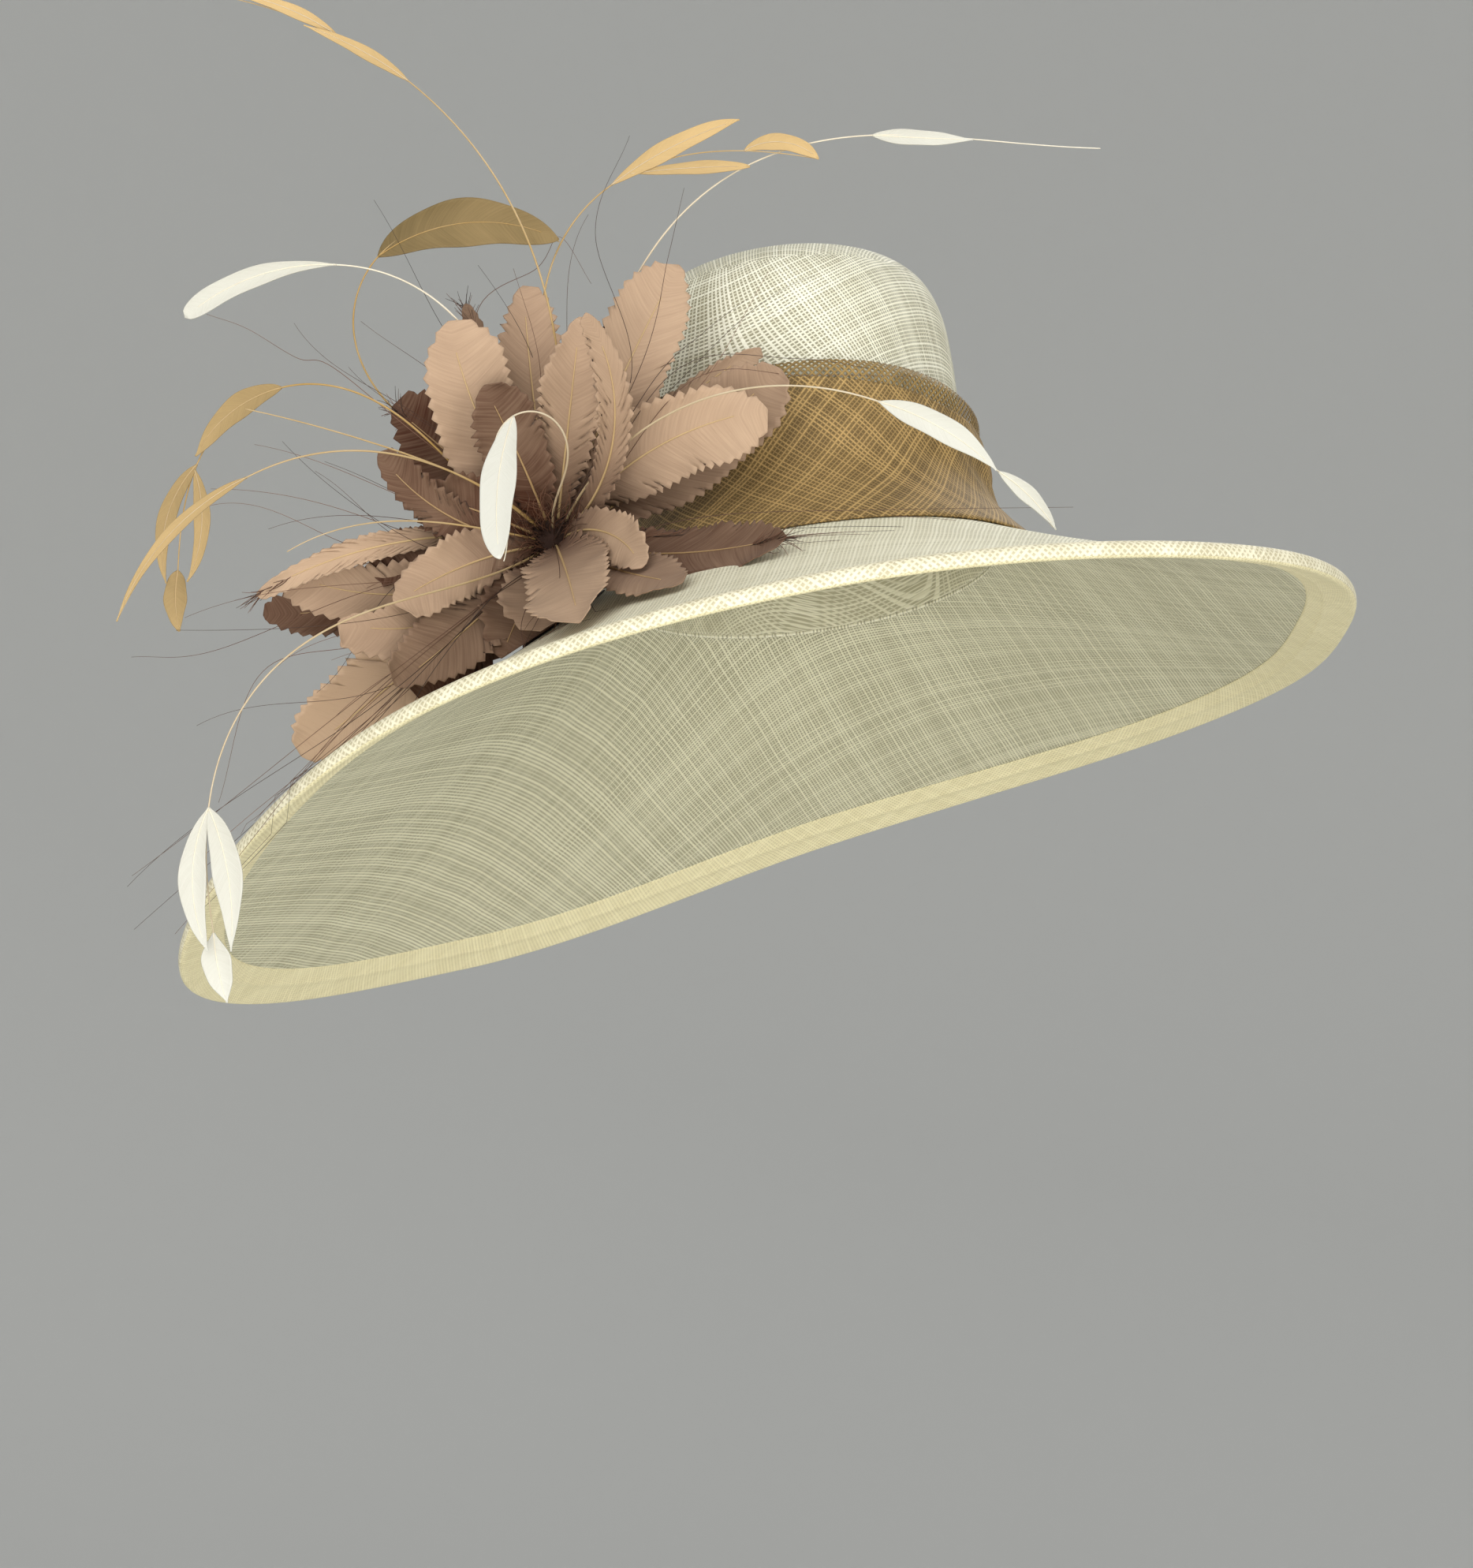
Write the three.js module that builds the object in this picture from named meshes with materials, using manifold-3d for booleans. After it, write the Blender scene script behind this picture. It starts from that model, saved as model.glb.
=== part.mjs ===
// Church hat: a wide-brimmed sinamay hat with a bias sash and a spray of trimmed feathers.
// Millimetres, +Z up, the wearer faces -Y. The hat is modelled level round the middle of its head
// opening, which is the origin, and the whole is then tilted as it sits on the head.
import * as THREE from "three";
import { mergeVertices } from "three/addons/utils/BufferGeometryUtils.js";
import Module from "manifold-3d";

const wasm = await Module();
wasm.setup();

// Driving dimensions in millimetres, angles in degrees
const WORN_ROLL = -7;
const WORN_PITCH = -11;
const HEAD_WIDTH = 156;
const HEAD_LENGTH = 194;
const CROWN_HEIGHT = 126;
const CROWN_WALL = 2;
const CROWN_LEAN = 3.5;
const BRIM_REACH = 230;
const BRIM_DROP = 100;
const BRIM_WALL = 2;
const BRIM_BELLY = 0.25;
const BINDING_TOP_WIDTH = 7;
const BINDING_HEM_WIDTH = 16;
const BINDING_WALL = 1.2;
const BAND_HEIGHT = 62;
const BAND_FLARE = 16;
const BAND_WALL = 1.6;
const BAND_FOLD = 1.6;
const BAND_FOLDS = 5;
const BAND_TOP_DIP = 0.12;
const SEAM_GAP = 0.3;
const AROUND = 44;

// The flower of feathers: where its knob sits beside the crown, and its knob and backing
const FLOWER_AZIMUTH = 221;
const FLOWER_OUT = 41;
const FLOWER_RISE = 30.5;
const KNOB_RADIUS = 12;
const BACKING_RADIUS = 17;
const NECK_RADIUS = 8;
const NECK_LATITUDE = -48;
const FLOWER_ROLL = 7;
const FLOWER_PITCH = 11;
const PETAL_LENGTH = 100;
const PETAL_WIDTH = 36;
const PETAL_ROOT = 3.2;
const PETAL_CUP = 0.1;
const FEATHER_WALL = 1;
const QUILL_LENGTH = 200;
const QUILL_THICK = 1.4;
const QUILL_TIP = 0.5;
const BLADE_LENGTH = 60;
const BLADE_WIDTH = 10;
// Where petals and blades are widest, as a share of their length
const PETAL_BELLY = 0.6;
const BLADE_BELLY = 0.42;
const BLADE_FULLNESS = 1.3;

// The crown's profile: height above the seam and half-width there, as shares of the crown's
const CROWN_PROFILE = [
  { height: 0, width: 1 },
  { height: 0.1, width: 0.955 },
  { height: 0.2, width: 0.92 },
  { height: 0.33, width: 0.885 },
  { height: 0.48, width: 0.87 },
  { height: 0.64, width: 0.86 },
  { height: 0.775, width: 0.835 },
  { height: 0.885, width: 0.76 },
  { height: 0.955, width: 0.61 },
  { height: 0.99, width: 0.36 },
];

// The rim, seen from above: reach from the centre and drop below the seam, as shares of the brim's
const RIM = [
  { azimuth: 0, reach: 0.916, drop: 0.5 },
  { azimuth: 45, reach: 1.017, drop: 0.47 },
  { azimuth: 90, reach: 0.948, drop: 0.7 },
  { azimuth: 135, reach: 1.034, drop: 1.14 },
  { azimuth: 180, reach: 1.154, drop: 1.33 },
  { azimuth: 225, reach: 1.017, drop: 0.79 },
  { azimuth: 270, reach: 0.956, drop: 0.57 },
  { azimuth: 315, reach: 1.005, drop: 0.54 },
];

const radians = THREE.MathUtils.degToRad;
const HALF_WIDTH = HEAD_WIDTH / 2 + CROWN_WALL;
const HALF_LENGTH = HEAD_LENGTH / 2 + CROWN_WALL;

// Where the brim's facets divide it, as shares of the way from the seam to the rim
const BRIM_SHARES = [0, 0.06, 0.18, 0.32, 0.46, 0.6, 0.74, 0.87, 1];

// A smooth closed curve through the rim's rows, read at any azimuth in degrees
function rimValue(column, azimuth) {
  const step = 360 / RIM.length;
  const place = (((azimuth % 360) + 360) % 360) / step;
  const row = Math.floor(place);
  const t = place - row;
  const at = (k) => RIM[(row + k + RIM.length) % RIM.length][column];
  const [a, b, c, d] = [at(-1), at(0), at(1), at(2)];
  return b + 0.5 * t * (c - a + t * (2 * a - 5 * b + 4 * c - d + t * (3 * (b - c) + d - a)));
}

// Radius of the oval crown seam at an angle in radians: the long way runs front to back
function ovalRadius(angle) {
  const across = HALF_WIDTH * Math.sin(angle);
  const along = HALF_LENGTH * Math.cos(angle);
  return (HALF_WIDTH * HALF_LENGTH) / Math.hypot(across, along);
}

// Moves every vertex of a closed geometry and leaves only merged positions in it
function reshape(geometry, place) {
  const shaped = geometry.clone();
  shaped.deleteAttribute("normal");
  shaped.deleteAttribute("uv");
  const positions = shaped.getAttribute("position");
  const point = new THREE.Vector3();
  for (let i = 0; i < positions.count; i++) {
    point.fromBufferAttribute(positions, i);
    const moved = place(point);
    positions.setXYZ(i, moved.x, moved.y, moved.z);
  }
  return facingOut(mergeVertices(shaped, 1e-4));
}

// Turns every triangle of a closed geometry round if its faces point inwards
function facingOut(geometry) {
  const positions = geometry.getAttribute("position");
  const index = geometry.getIndex();
  const [a, b, c] = [new THREE.Vector3(), new THREE.Vector3(), new THREE.Vector3()];
  let volume = 0;
  for (let i = 0; i < index.count; i += 3) {
    a.fromBufferAttribute(positions, index.getX(i));
    b.fromBufferAttribute(positions, index.getX(i + 1));
    c.fromBufferAttribute(positions, index.getX(i + 2));
    volume += a.dot(b.cross(c));
  }
  if (volume < 0) index.array.reverse();
  return geometry;
}

// Turns a profile of [radius, height] pairs round the upright axis
function turned(profile) {
  const points = profile.map(([radius, height]) => new THREE.Vector2(radius, height));
  return new THREE.LatheGeometry(points, AROUND).rotateX(Math.PI / 2);
}

// How far the crown leans to its left at a height
function crownLean(height) {
  return (CROWN_LEAN * height) / CROWN_HEIGHT;
}

function crownGeometry() {
  const outer = CROWN_PROFILE.map((row) => [row.width * HALF_WIDTH, row.height * CROWN_HEIGHT + SEAM_GAP]);
  const inner = outer.map(([radius, height]) => [
    Math.max(radius - CROWN_WALL, 0.5),
    height * (1 - CROWN_WALL / CROWN_HEIGHT) + SEAM_GAP * (CROWN_WALL / CROWN_HEIGHT),
  ]);
  const top = CROWN_HEIGHT + SEAM_GAP;
  const profile = [[0, top - CROWN_WALL], ...inner.reverse(), ...outer, [0, top]];
  return reshape(turned(profile), (p) => {
    p.y *= HALF_LENGTH / HALF_WIDTH;
    p.x += crownLean(p.z);
    return p;
  });
}

// A point on top of the brim: share 0 is the crown seam and 1 the rim
function brimPoint(angle, share) {
  const azimuth = THREE.MathUtils.radToDeg(angle);
  const inner = ovalRadius(angle);
  const radius = inner + (rimValue("reach", azimuth) * BRIM_REACH - inner) * share;
  const fall = share * (1 + BRIM_BELLY * (1 - share));
  const drop = rimValue("drop", azimuth) * BRIM_DROP * Math.max(fall, 0);
  return new THREE.Vector3(radius * Math.cos(angle), radius * Math.sin(angle), -drop);
}

// Turns a loop of [depth, lift] pairs round the rim: depth runs inwards from a reference circle
// and lift upwards, and place() says where such a point lies at an angle
function ringOnBrim(loop, place) {
  const REFERENCE = 100;
  const profile = loop.map(([depth, lift]) => [REFERENCE - depth, lift]);
  profile.push(profile[0]);
  return reshape(turned(profile), (p) => {
    const angle = Math.atan2(p.y, p.x);
    return place(angle, REFERENCE - Math.hypot(p.x, p.y), p.z);
  });
}

// The share of the brim that a distance in millimetres takes up at an angle
function brimShare(angle, distance) {
  const reach = rimValue("reach", THREE.MathUtils.radToDeg(angle)) * BRIM_REACH;
  return distance / (reach - ovalRadius(angle));
}

// The brim, from a seat under the crown's wall out to the rim
function brimGeometry() {
  const upper = BRIM_SHARES.map((share) => [share, 0]);
  const lower = BRIM_SHARES.map((share) => [share, -BRIM_WALL]).reverse();
  const loop = [[-1, 0], ...upper, ...lower, [-1, -BRIM_WALL]];
  return ringOnBrim(loop, (angle, share, lift) => {
    const wanted = Math.round(share) < 0 ? brimShare(angle, -CROWN_WALL) : share;
    const point = brimPoint(angle, wanted);
    point.z += lift;
    return point;
  });
}

function bindingGeometry() {
  const skin = SEAM_GAP + BINDING_WALL;
  const loop = [
    [BINDING_TOP_WIDTH, SEAM_GAP],
    [BINDING_TOP_WIDTH, skin],
    [0, skin + BINDING_WALL / 2],
    [-skin, skin],
    [-skin - BINDING_WALL / 2, -BRIM_WALL / 2],
    [-skin, -BRIM_WALL - skin],
    [0, -BRIM_WALL - skin - BINDING_WALL / 2],
    [BINDING_HEM_WIDTH, -BRIM_WALL - skin],
    [BINDING_HEM_WIDTH, -BRIM_WALL - SEAM_GAP],
    [-SEAM_GAP, -BRIM_WALL - SEAM_GAP],
    [-SEAM_GAP, SEAM_GAP],
  ];
  return ringOnBrim(loop, (angle, depth, lift) => {
    const point = brimPoint(angle, 1 - brimShare(angle, depth));
    point.z += lift;
    return point;
  });
}

// The sash, from its folded top edge down to its flare: height as a share of the band's, and how
// far it stands off the crown as a share of its flare
const BAND_PROFILE = [
  { height: 1, stand: 0.16 },
  { height: 0.93, stand: 0.3 },
  { height: 0.78, stand: 0.24 },
  { height: 0.58, stand: 0.3 },
  { height: 0.4, stand: 0.14 },
  { height: 0.22, stand: 0.2 },
  { height: 0.09, stand: 0.5 },
  { height: 0, stand: 1 },
];

// The crown's half-width share at a height above the seam
function crownShare(height) {
  const share = height / CROWN_HEIGHT;
  const above = CROWN_PROFILE.findIndex((row) => row.height > share);
  const [low, high] = [CROWN_PROFILE[above - 1], CROWN_PROFILE[above]];
  return THREE.MathUtils.mapLinear(share, low.height, high.height, low.width, high.width);
}

// A point of the sash at an angle: row of its profile, and distance outwards through its wall
function bandPoint(angle, row, outwards) {
  const dip = 1 - BAND_TOP_DIP * Math.cos(angle) * Math.max(Math.cos(angle), 0);
  const height = row.height * BAND_HEIGHT * dip;
  const fold = BAND_FOLD * row.height * Math.sin(BAND_FOLDS * angle + 3 * row.height);
  const stand = SEAM_GAP + BAND_FOLD + row.stand * BAND_FLARE + fold * (1 - row.height);
  const radius = ovalRadius(angle) * crownShare(height) + stand + outwards;
  const floor = brimPoint(angle, brimShare(angle, radius - ovalRadius(angle)));
  const z = Math.max(height, 0) + floor.z * (1 - row.height) ** 4 + 2 * SEAM_GAP;
  const x = radius * Math.cos(angle) + crownLean(height);
  return new THREE.Vector3(x, radius * Math.sin(angle), z);
}

function bandGeometry() {
  const outer = BAND_PROFILE.map((row, index) => [index, BAND_WALL]);
  const inner = BAND_PROFILE.map((row, index) => [index, 0]).reverse();
  return ringOnBrim([...inner, ...outer], (angle, index, outwards) =>
    bandPoint(angle, BAND_PROFILE[Math.round(index)], outwards),
  );
}

// Every feather leaves the knob along a path seen from the front: turn is its heading at the root
// (0 to the right, 90 up), lean what it turns by in all, sway and arch where it does so, rise how
// far it points to the front at the root and curl what that changes by. A positive roll lays a
// petal's upper edge back. Lengths are shares of PETAL_LENGTH and PETAL_WIDTH.
const PETALS = [
  { name: "petal_up_left", turn: 127, lean: -26, rise: 34, curl: -25, length: 0.87, width: 1 },
  { name: "petal_up", turn: 81, lean: 2, rise: 40, curl: -25, length: 0.83, width: 0.75 },
  { name: "petal_up_folded", turn: 40, lean: 83, rise: 48, curl: -25, length: 1.02, width: 0.39 },
  { name: "petal_up_right", turn: 69, lean: -7, rise: 14, curl: -25, length: 1.06, width: 0.94 },
  { name: "petal_right", turn: 50, lean: -43, rise: 32, curl: -25, length: 0.93, width: 0.97 },
  { name: "petal_right_under", turn: 31, lean: 13, rise: 18, curl: -15, length: 0.99, width: 1 },
  { name: "petal_right_slim", turn: 54, lean: -23, rise: 4, curl: -15, length: 0.99, width: 0.36 },
  { name: "petal_curled", turn: 22, lean: -90, rise: 66, curl: -18, length: 0.7, width: 0.56 },
  { name: "petal_low_right", turn: -14, lean: 26, rise: 47, curl: -15, roll: 48, length: 1.05, width: 0.86 },
  { name: "petal_low_under", turn: -33, lean: 23, rise: 65, curl: -13, roll: 49, length: 0.95, width: 0.82 },
  { name: "petal_front", turn: -60, lean: -16, rise: 79, curl: -20, length: 1, width: 1 },
  { name: "petal_left", turn: 193, lean: 24, rise: 46, curl: -25, length: 0.67, width: 0.72 },
  { name: "petal_left_long", turn: 212, lean: -55, rise: 22, curl: -20, length: 0.98, width: 0.72 },
  { name: "petal_left_low", turn: 233, lean: -67, rise: 36, curl: -25, length: 0.9, width: 0.72 },
  { name: "petal_down_left", turn: 223, lean: -5, rise: 16, curl: -15, length: 1.16, width: 1.03 },
  { name: "petal_left_dark", turn: 205, lean: -25, rise: 8, curl: -15, length: 1.05, width: 0.67 },
  { name: "petal_left_pale", turn: 174, lean: 37, rise: 27, curl: -25, length: 1.09, width: 0.31 },
  { name: "petal_inner_left", turn: 140, lean: 0, rise: 20, curl: -25, length: 0.7, width: 0.89 },
  { name: "petal_inner_folded", turn: 178, lean: -53, rise: 40, curl: -25, length: 0.74, width: 0.5 },
  { name: "petal_inner_low", turn: 230, lean: -12, rise: 41, curl: -21, roll: 4, length: 0.83, width: 0.78 },
  { name: "petal_inner_up", turn: 110, lean: 8, rise: 43, curl: -20, roll: 12, length: 0.63, width: 0.79 },
  { name: "petal_rolled", turn: 112, lean: -3, rise: 6, curl: -20, length: 0.88, width: 0.31 },
  { name: "petal_top", turn: 99, lean: -5, rise: 17, curl: -25, length: 0.88, width: 0.72 },
];

// The stripped quills, with their lengths as shares of QUILL_LENGTH
const QUILLS = [
  { name: "white_arch", turn: 108, lean: 109, sway: -11, arch: -17, rise: 26, curl: -24, length: 0.98 },
  { name: "tan_tall", turn: 82, lean: 85, sway: -3, arch: -5, rise: 28, curl: -30, length: 1.27 },
  { name: "tan_leaf", turn: 132, lean: -159, sway: 24, arch: 40, rise: 8, curl: -8, length: 1.04 },
  { name: "tan_forked", turn: 90, lean: -99, sway: 16, arch: 19, rise: 8, curl: -16, length: 1.08 },
  { name: "white_long", turn: 76, lean: -77, sway: 16, arch: -5, rise: 2, curl: -6, length: 1.48 },
  { name: "white_hook", turn: 93, lean: 162, sway: -65, arch: 2, rise: 64, curl: -50, length: 0.74 },
  { name: "tan_cluster", turn: 150, lean: 120, sway: -28, arch: -20, rise: 30, curl: -30, length: 1.12 },
  { name: "golden", turn: 139, lean: 105, sway: -5, arch: -2, rise: 52, curl: -60, length: 1.03 },
  { name: "white_low", turn: 217, lean: 68, sway: -17, arch: -26, rise: 54, curl: -50, length: 1.33 },
  { name: "white_right", turn: 61, lean: -112, sway: 2, arch: -7, rise: 42, curl: -38, length: 1.18 },
  { name: "bare_upper", turn: 137, lean: 32, sway: 2, arch: 9, rise: 43, curl: -32, length: 0.64 },
  { name: "bare_lower", turn: 172, lean: 40, sway: 0, arch: -13, rise: 54, curl: -50, length: 0.54 },
];

// The trimmed blades left on the quills: from says how far along its quill a blade starts and
// swing how it heads off from it. Lengths are shares of BLADE_LENGTH and BLADE_WIDTH.
const BLADES = [
  { quill: "white_arch", from: 0.69, swing: -1, lean: 45, length: 1.02, width: 0.85 },
  { quill: "tan_tall", from: 0.72, swing: 1, lean: 19, length: 0.72, width: 0.46 },
  { quill: "tan_tall", from: 0.84, swing: -8, lean: 26, length: 0.72, width: 0.46 },
  { quill: "tan_leaf", from: 0.64, swing: -12, lean: -62, length: 1.22, width: 1.8 },
  { quill: "tan_forked", from: 0.62, swing: 2, lean: -20, length: 0.93, width: 0.7 },
  { quill: "tan_forked", from: 0.66, swing: -20, lean: -8, length: 0.77, width: 0.5 },
  { quill: "tan_forked", from: 0.87, swing: 33, lean: -76, length: 0.52, width: 0.65 },
  { quill: "white_long", from: 0.7, swing: -6, lean: 2, length: 0.65, width: 0.6 },
  { quill: "white_hook", from: 0.57, swing: 39, lean: 27, length: 1.13, width: 1.2 },
  { quill: "tan_cluster", from: 0.52, swing: 0, lean: 50, length: 0.72, width: 0.9 },
  { quill: "tan_cluster", from: 0.72, swing: -20, lean: 57, length: 0.8, width: 0.65 },
  { quill: "tan_cluster", from: 0.73, swing: 39, lean: -44, length: 0.72, width: 0.6 },
  { quill: "tan_cluster", from: 0.9, swing: -8, lean: 23, length: 0.38, width: 0.85 },
  { quill: "golden", from: 0.65, swing: -2, lean: 45, length: 1.22, width: 0.45 },
  { quill: "white_low", from: 0.74, swing: 34, lean: -28, length: 0.87, width: 0.9 },
  { quill: "white_low", from: 0.74, swing: -22, lean: 50, length: 0.88, width: 0.8 },
  { quill: "white_low", from: 0.91, swing: -6, lean: 15, length: 0.4, width: 1 },
  { quill: "white_right", from: 0.66, swing: 3, lean: -29, length: 0.87, width: 0.85 },
  { quill: "white_right", from: 0.88, swing: 8, lean: -26, length: 0.45, width: 0.6 },
];

// How finely feathers and the knob are divided
const PATH_STEPS = 48;
const FEATHER_STEPS = 7;
const STEM_STEPS = 12;
const STEM_SIDES = 4;
const BLADE_STEPS = 5;
const KNOB_SIDES = 16;
const KNOB_RINGS = 7;

// A feather's path from the knob, or from a start given to it: points, directions and the way
// across, one for each step
function featherPath(row, length, start = null) {
  const frames = [];
  let point = start;
  for (let i = 0; i <= PATH_STEPS; i++) {
    const s = i / PATH_STEPS;
    const swing = (row.sway ?? 0) * Math.sin(2 * Math.PI * s) + (row.arch ?? 0) * Math.sin(Math.PI * s);
    const heading = radians(row.turn + row.lean * s + swing);
    const slope = radians(row.rise + row.curl * s);
    const along = new THREE.Vector3(
      Math.cos(slope) * Math.cos(heading),
      -Math.sin(slope),
      Math.cos(slope) * Math.sin(heading),
    );
    const flat = new THREE.Vector3(-Math.sin(heading), 0, Math.cos(heading));
    const across = flat.applyAxisAngle(along, -radians(row.roll ?? 0));
    point ??= along.clone().multiplyScalar(KNOB_RADIUS + SEAM_GAP);
    if (i > 0) {
      const middle = along.clone().add(frames[i - 1].along).multiplyScalar(0.5);
      point = frames[i - 1].point.clone().addScaledVector(middle, length / PATH_STEPS);
    }
    frames.push({ point: point.clone(), along, across, heading, slope });
  }
  return frames;
}

// The frame at a share of a path
function frameAt(frames, share) {
  return frames[Math.round(share * PATH_STEPS)];
}

// A blade's half-width at a share of its length: belly is where it is widest
function halfWidth(share, width, root, belly) {
  const rise = BLADE_FULLNESS * belly;
  const fall = BLADE_FULLNESS * (1 - belly);
  const peak = belly ** rise * (1 - belly) ** fall;
  const leaf = (share ** rise * (1 - share) ** fall) / peak;
  return 0.5 * Math.max(width * leaf, root * (1 - share), FEATHER_WALL);
}

// A thin cupped feather blade along a path
function bladeGeometry(frames, width, root, belly, steps, columns) {
  const box = new THREE.BoxGeometry(1, 1, 1, steps, columns, 1);
  return reshape(box, (p) => {
    const share = p.x + 0.5;
    const frame = frameAt(frames, share);
    const half = halfWidth(share, width, root, belly);
    const side = 2 * p.y;
    const towards = new THREE.Vector3().crossVectors(frame.along, frame.across);
    const cup = PETAL_CUP * 2 * half * side * side;
    return frame.point
      .clone()
      .addScaledVector(frame.across, side * half)
      .addScaledVector(towards, cup + p.z * FEATHER_WALL);
  });
}

// A tapering round quill along a path
function stemGeometry(frames) {
  const rod = new THREE.CylinderGeometry(1, 1, 1, STEM_SIDES, STEM_STEPS);
  return reshape(rod, (p) => {
    const share = p.y + 0.5;
    const frame = frameAt(frames, share);
    const towards = new THREE.Vector3().crossVectors(frame.along, frame.across);
    const radius = 0.5 * QUILL_THICK * (1 - (1 - QUILL_TIP) * share);
    return frame.point
      .clone()
      .addScaledVector(frame.across, p.x * radius)
      .addScaledVector(towards, p.z * radius);
  });
}

// Joins closed geometries into one
function joined(geometries) {
  const solids = geometries.map((geometry) => {
    const vertProperties = new Float32Array(geometry.getAttribute("position").array);
    const triVerts = new Uint32Array(geometry.getIndex().array);
    return new wasm.Manifold(new wasm.Mesh({ numProp: 3, vertProperties, triVerts }));
  });
  const mesh = solids.reduce((whole, solid) => whole.add(solid)).getMesh();
  const geometry = new THREE.BufferGeometry();
  geometry.setAttribute("position", new THREE.BufferAttribute(mesh.vertProperties, 3));
  geometry.setIndex(new THREE.BufferAttribute(mesh.triVerts, 1));
  return geometry;
}

function petalGeometry(row) {
  const frames = featherPath(row, row.length * PETAL_LENGTH);
  return bladeGeometry(frames, row.width * PETAL_WIDTH, PETAL_ROOT, PETAL_BELLY, FEATHER_STEPS, 2);
}

function quillGeometry(row) {
  const frames = featherPath(row, row.length * QUILL_LENGTH);
  const blades = BLADES.filter((blade) => blade.quill === row.name).map((blade) => {
    const frame = frameAt(frames, blade.from);
    const turn = THREE.MathUtils.radToDeg(frame.heading) + blade.swing;
    const rise = THREE.MathUtils.radToDeg(frame.slope);
    const path = { turn, lean: blade.lean, rise, curl: 0 };
    const bladeFrames = featherPath(path, blade.length * BLADE_LENGTH, frame.point);
    return bladeGeometry(bladeFrames, blade.width * BLADE_WIDTH, QUILL_THICK, BLADE_BELLY, BLADE_STEPS, 1);
  });
  return joined([stemGeometry(frames), ...blades]);
}

// Where the middle of the knob lies in the level hat
function flowerCentre() {
  const angle = radians(FLOWER_AZIMUTH);
  const centre = brimPoint(angle, brimShare(angle, FLOWER_OUT));
  centre.z += FLOWER_RISE;
  return centre;
}

// The knob that the feathers are tied round, on a neck that spreads to a backing on the brim
function flowerHeadGeometry() {
  const centre = flowerCentre();
  const profile = [[0, -FLOWER_RISE], [BACKING_RADIUS, -FLOWER_RISE], [NECK_RADIUS, -FLOWER_RISE / 2]];
  for (let i = 0; i <= KNOB_RINGS; i++) {
    const angle = radians(THREE.MathUtils.lerp(NECK_LATITUDE, 90, i / KNOB_RINGS));
    profile.push([KNOB_RADIUS * Math.cos(angle), KNOB_RADIUS * Math.sin(angle)]);
  }
  profile[profile.length - 1][0] = 0;
  const points = profile.map(([radius, height]) => new THREE.Vector2(radius, height));
  const turnedKnob = new THREE.LatheGeometry(points, KNOB_SIDES).rotateX(Math.PI / 2);
  return reshape(turnedKnob, (p) => {
    const onBrim = p.z < -FLOWER_RISE + SEAM_GAP;
    p.add(centre);
    if (onBrim) {
      const angle = Math.atan2(p.y, p.x);
      p.z = brimPoint(angle, brimShare(angle, Math.hypot(p.x, p.y) - ovalRadius(angle))).z + SEAM_GAP;
    }
    return p;
  });
}

// Materials
const plain = (color, roughness) => new THREE.MeshStandardMaterial({ color, roughness, metalness: 0 });
const ivorySinamay = plain(0xe9e3c6, 0.7);
const ivoryBinding = plain(0xece0b8, 0.65);
const brownSinamay = plain(0x9a7740, 0.75);
const darkFibre = plain(0x3c2a22, 0.9);
const rosePetal = plain(0xb08a78, 0.85);
const whiteFeather = plain(0xf4f2ea, 0.8);
const tanFeather = plain(0xc09a66, 0.8);

function node(name, geometry, material) {
  geometry.computeVertexNormals();
  const mesh = new THREE.Mesh(geometry, material);
  mesh.name = name;
  return mesh;
}

// Assembly
const level = new THREE.Group();
level.add(node("crown", crownGeometry(), ivorySinamay));
level.add(node("brim", brimGeometry(), ivorySinamay));
level.add(node("brim_binding", bindingGeometry(), ivoryBinding));
level.add(node("band", bandGeometry(), brownSinamay));
level.add(node("flower_head", flowerHeadGeometry(), darkFibre));

const flower = new THREE.Group();
flower.position.copy(flowerCentre());
flower.rotation.set(radians(FLOWER_PITCH), radians(FLOWER_ROLL), 0, "XYZ");
for (const row of PETALS) flower.add(node(row.name, petalGeometry(row), rosePetal));
for (const row of QUILLS) {
  const material = row.name.startsWith("white") ? whiteFeather : tanFeather;
  flower.add(node("quill_" + row.name, quillGeometry(row), material));
}
level.add(flower);
level.rotation.set(radians(WORN_PITCH), radians(WORN_ROLL), 0, "YXZ");

const hat = new THREE.Group();
hat.add(level);

export default hat;
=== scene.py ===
"""Church hat: the finished look of a wide-brimmed sinamay hat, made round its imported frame.

Shapes are worked out in millimetres in the level hat, turned to how the hat is worn and written to
meshes in metres. Feather shapes start from the middle of the flower, on axes parallel to the frame.
"""

import bmesh
import bpy
import numpy as np
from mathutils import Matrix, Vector


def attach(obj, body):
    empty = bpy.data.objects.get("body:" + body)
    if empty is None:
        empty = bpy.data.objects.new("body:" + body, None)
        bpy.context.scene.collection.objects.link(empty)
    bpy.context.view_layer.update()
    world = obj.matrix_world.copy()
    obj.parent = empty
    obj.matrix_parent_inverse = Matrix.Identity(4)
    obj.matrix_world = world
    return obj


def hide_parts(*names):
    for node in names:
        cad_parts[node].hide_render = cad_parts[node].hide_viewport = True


bl_info = {
    "name": "Church hat",
    "version": (1, 0, 0),
    "blender": (4, 5, 0),
    "location": "3D View > Sidebar > Church hat",
    "description": "Dresses the packed hat with woven straw, feathers, quills and filaments",
    "category": "Object",
}

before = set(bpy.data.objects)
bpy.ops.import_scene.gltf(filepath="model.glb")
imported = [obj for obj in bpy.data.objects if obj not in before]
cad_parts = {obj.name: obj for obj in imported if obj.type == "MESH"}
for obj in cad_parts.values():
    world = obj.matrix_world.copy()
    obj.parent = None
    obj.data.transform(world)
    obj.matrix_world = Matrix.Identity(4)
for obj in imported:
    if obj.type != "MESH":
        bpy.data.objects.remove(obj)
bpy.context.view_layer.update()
MM = 0.001

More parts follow.
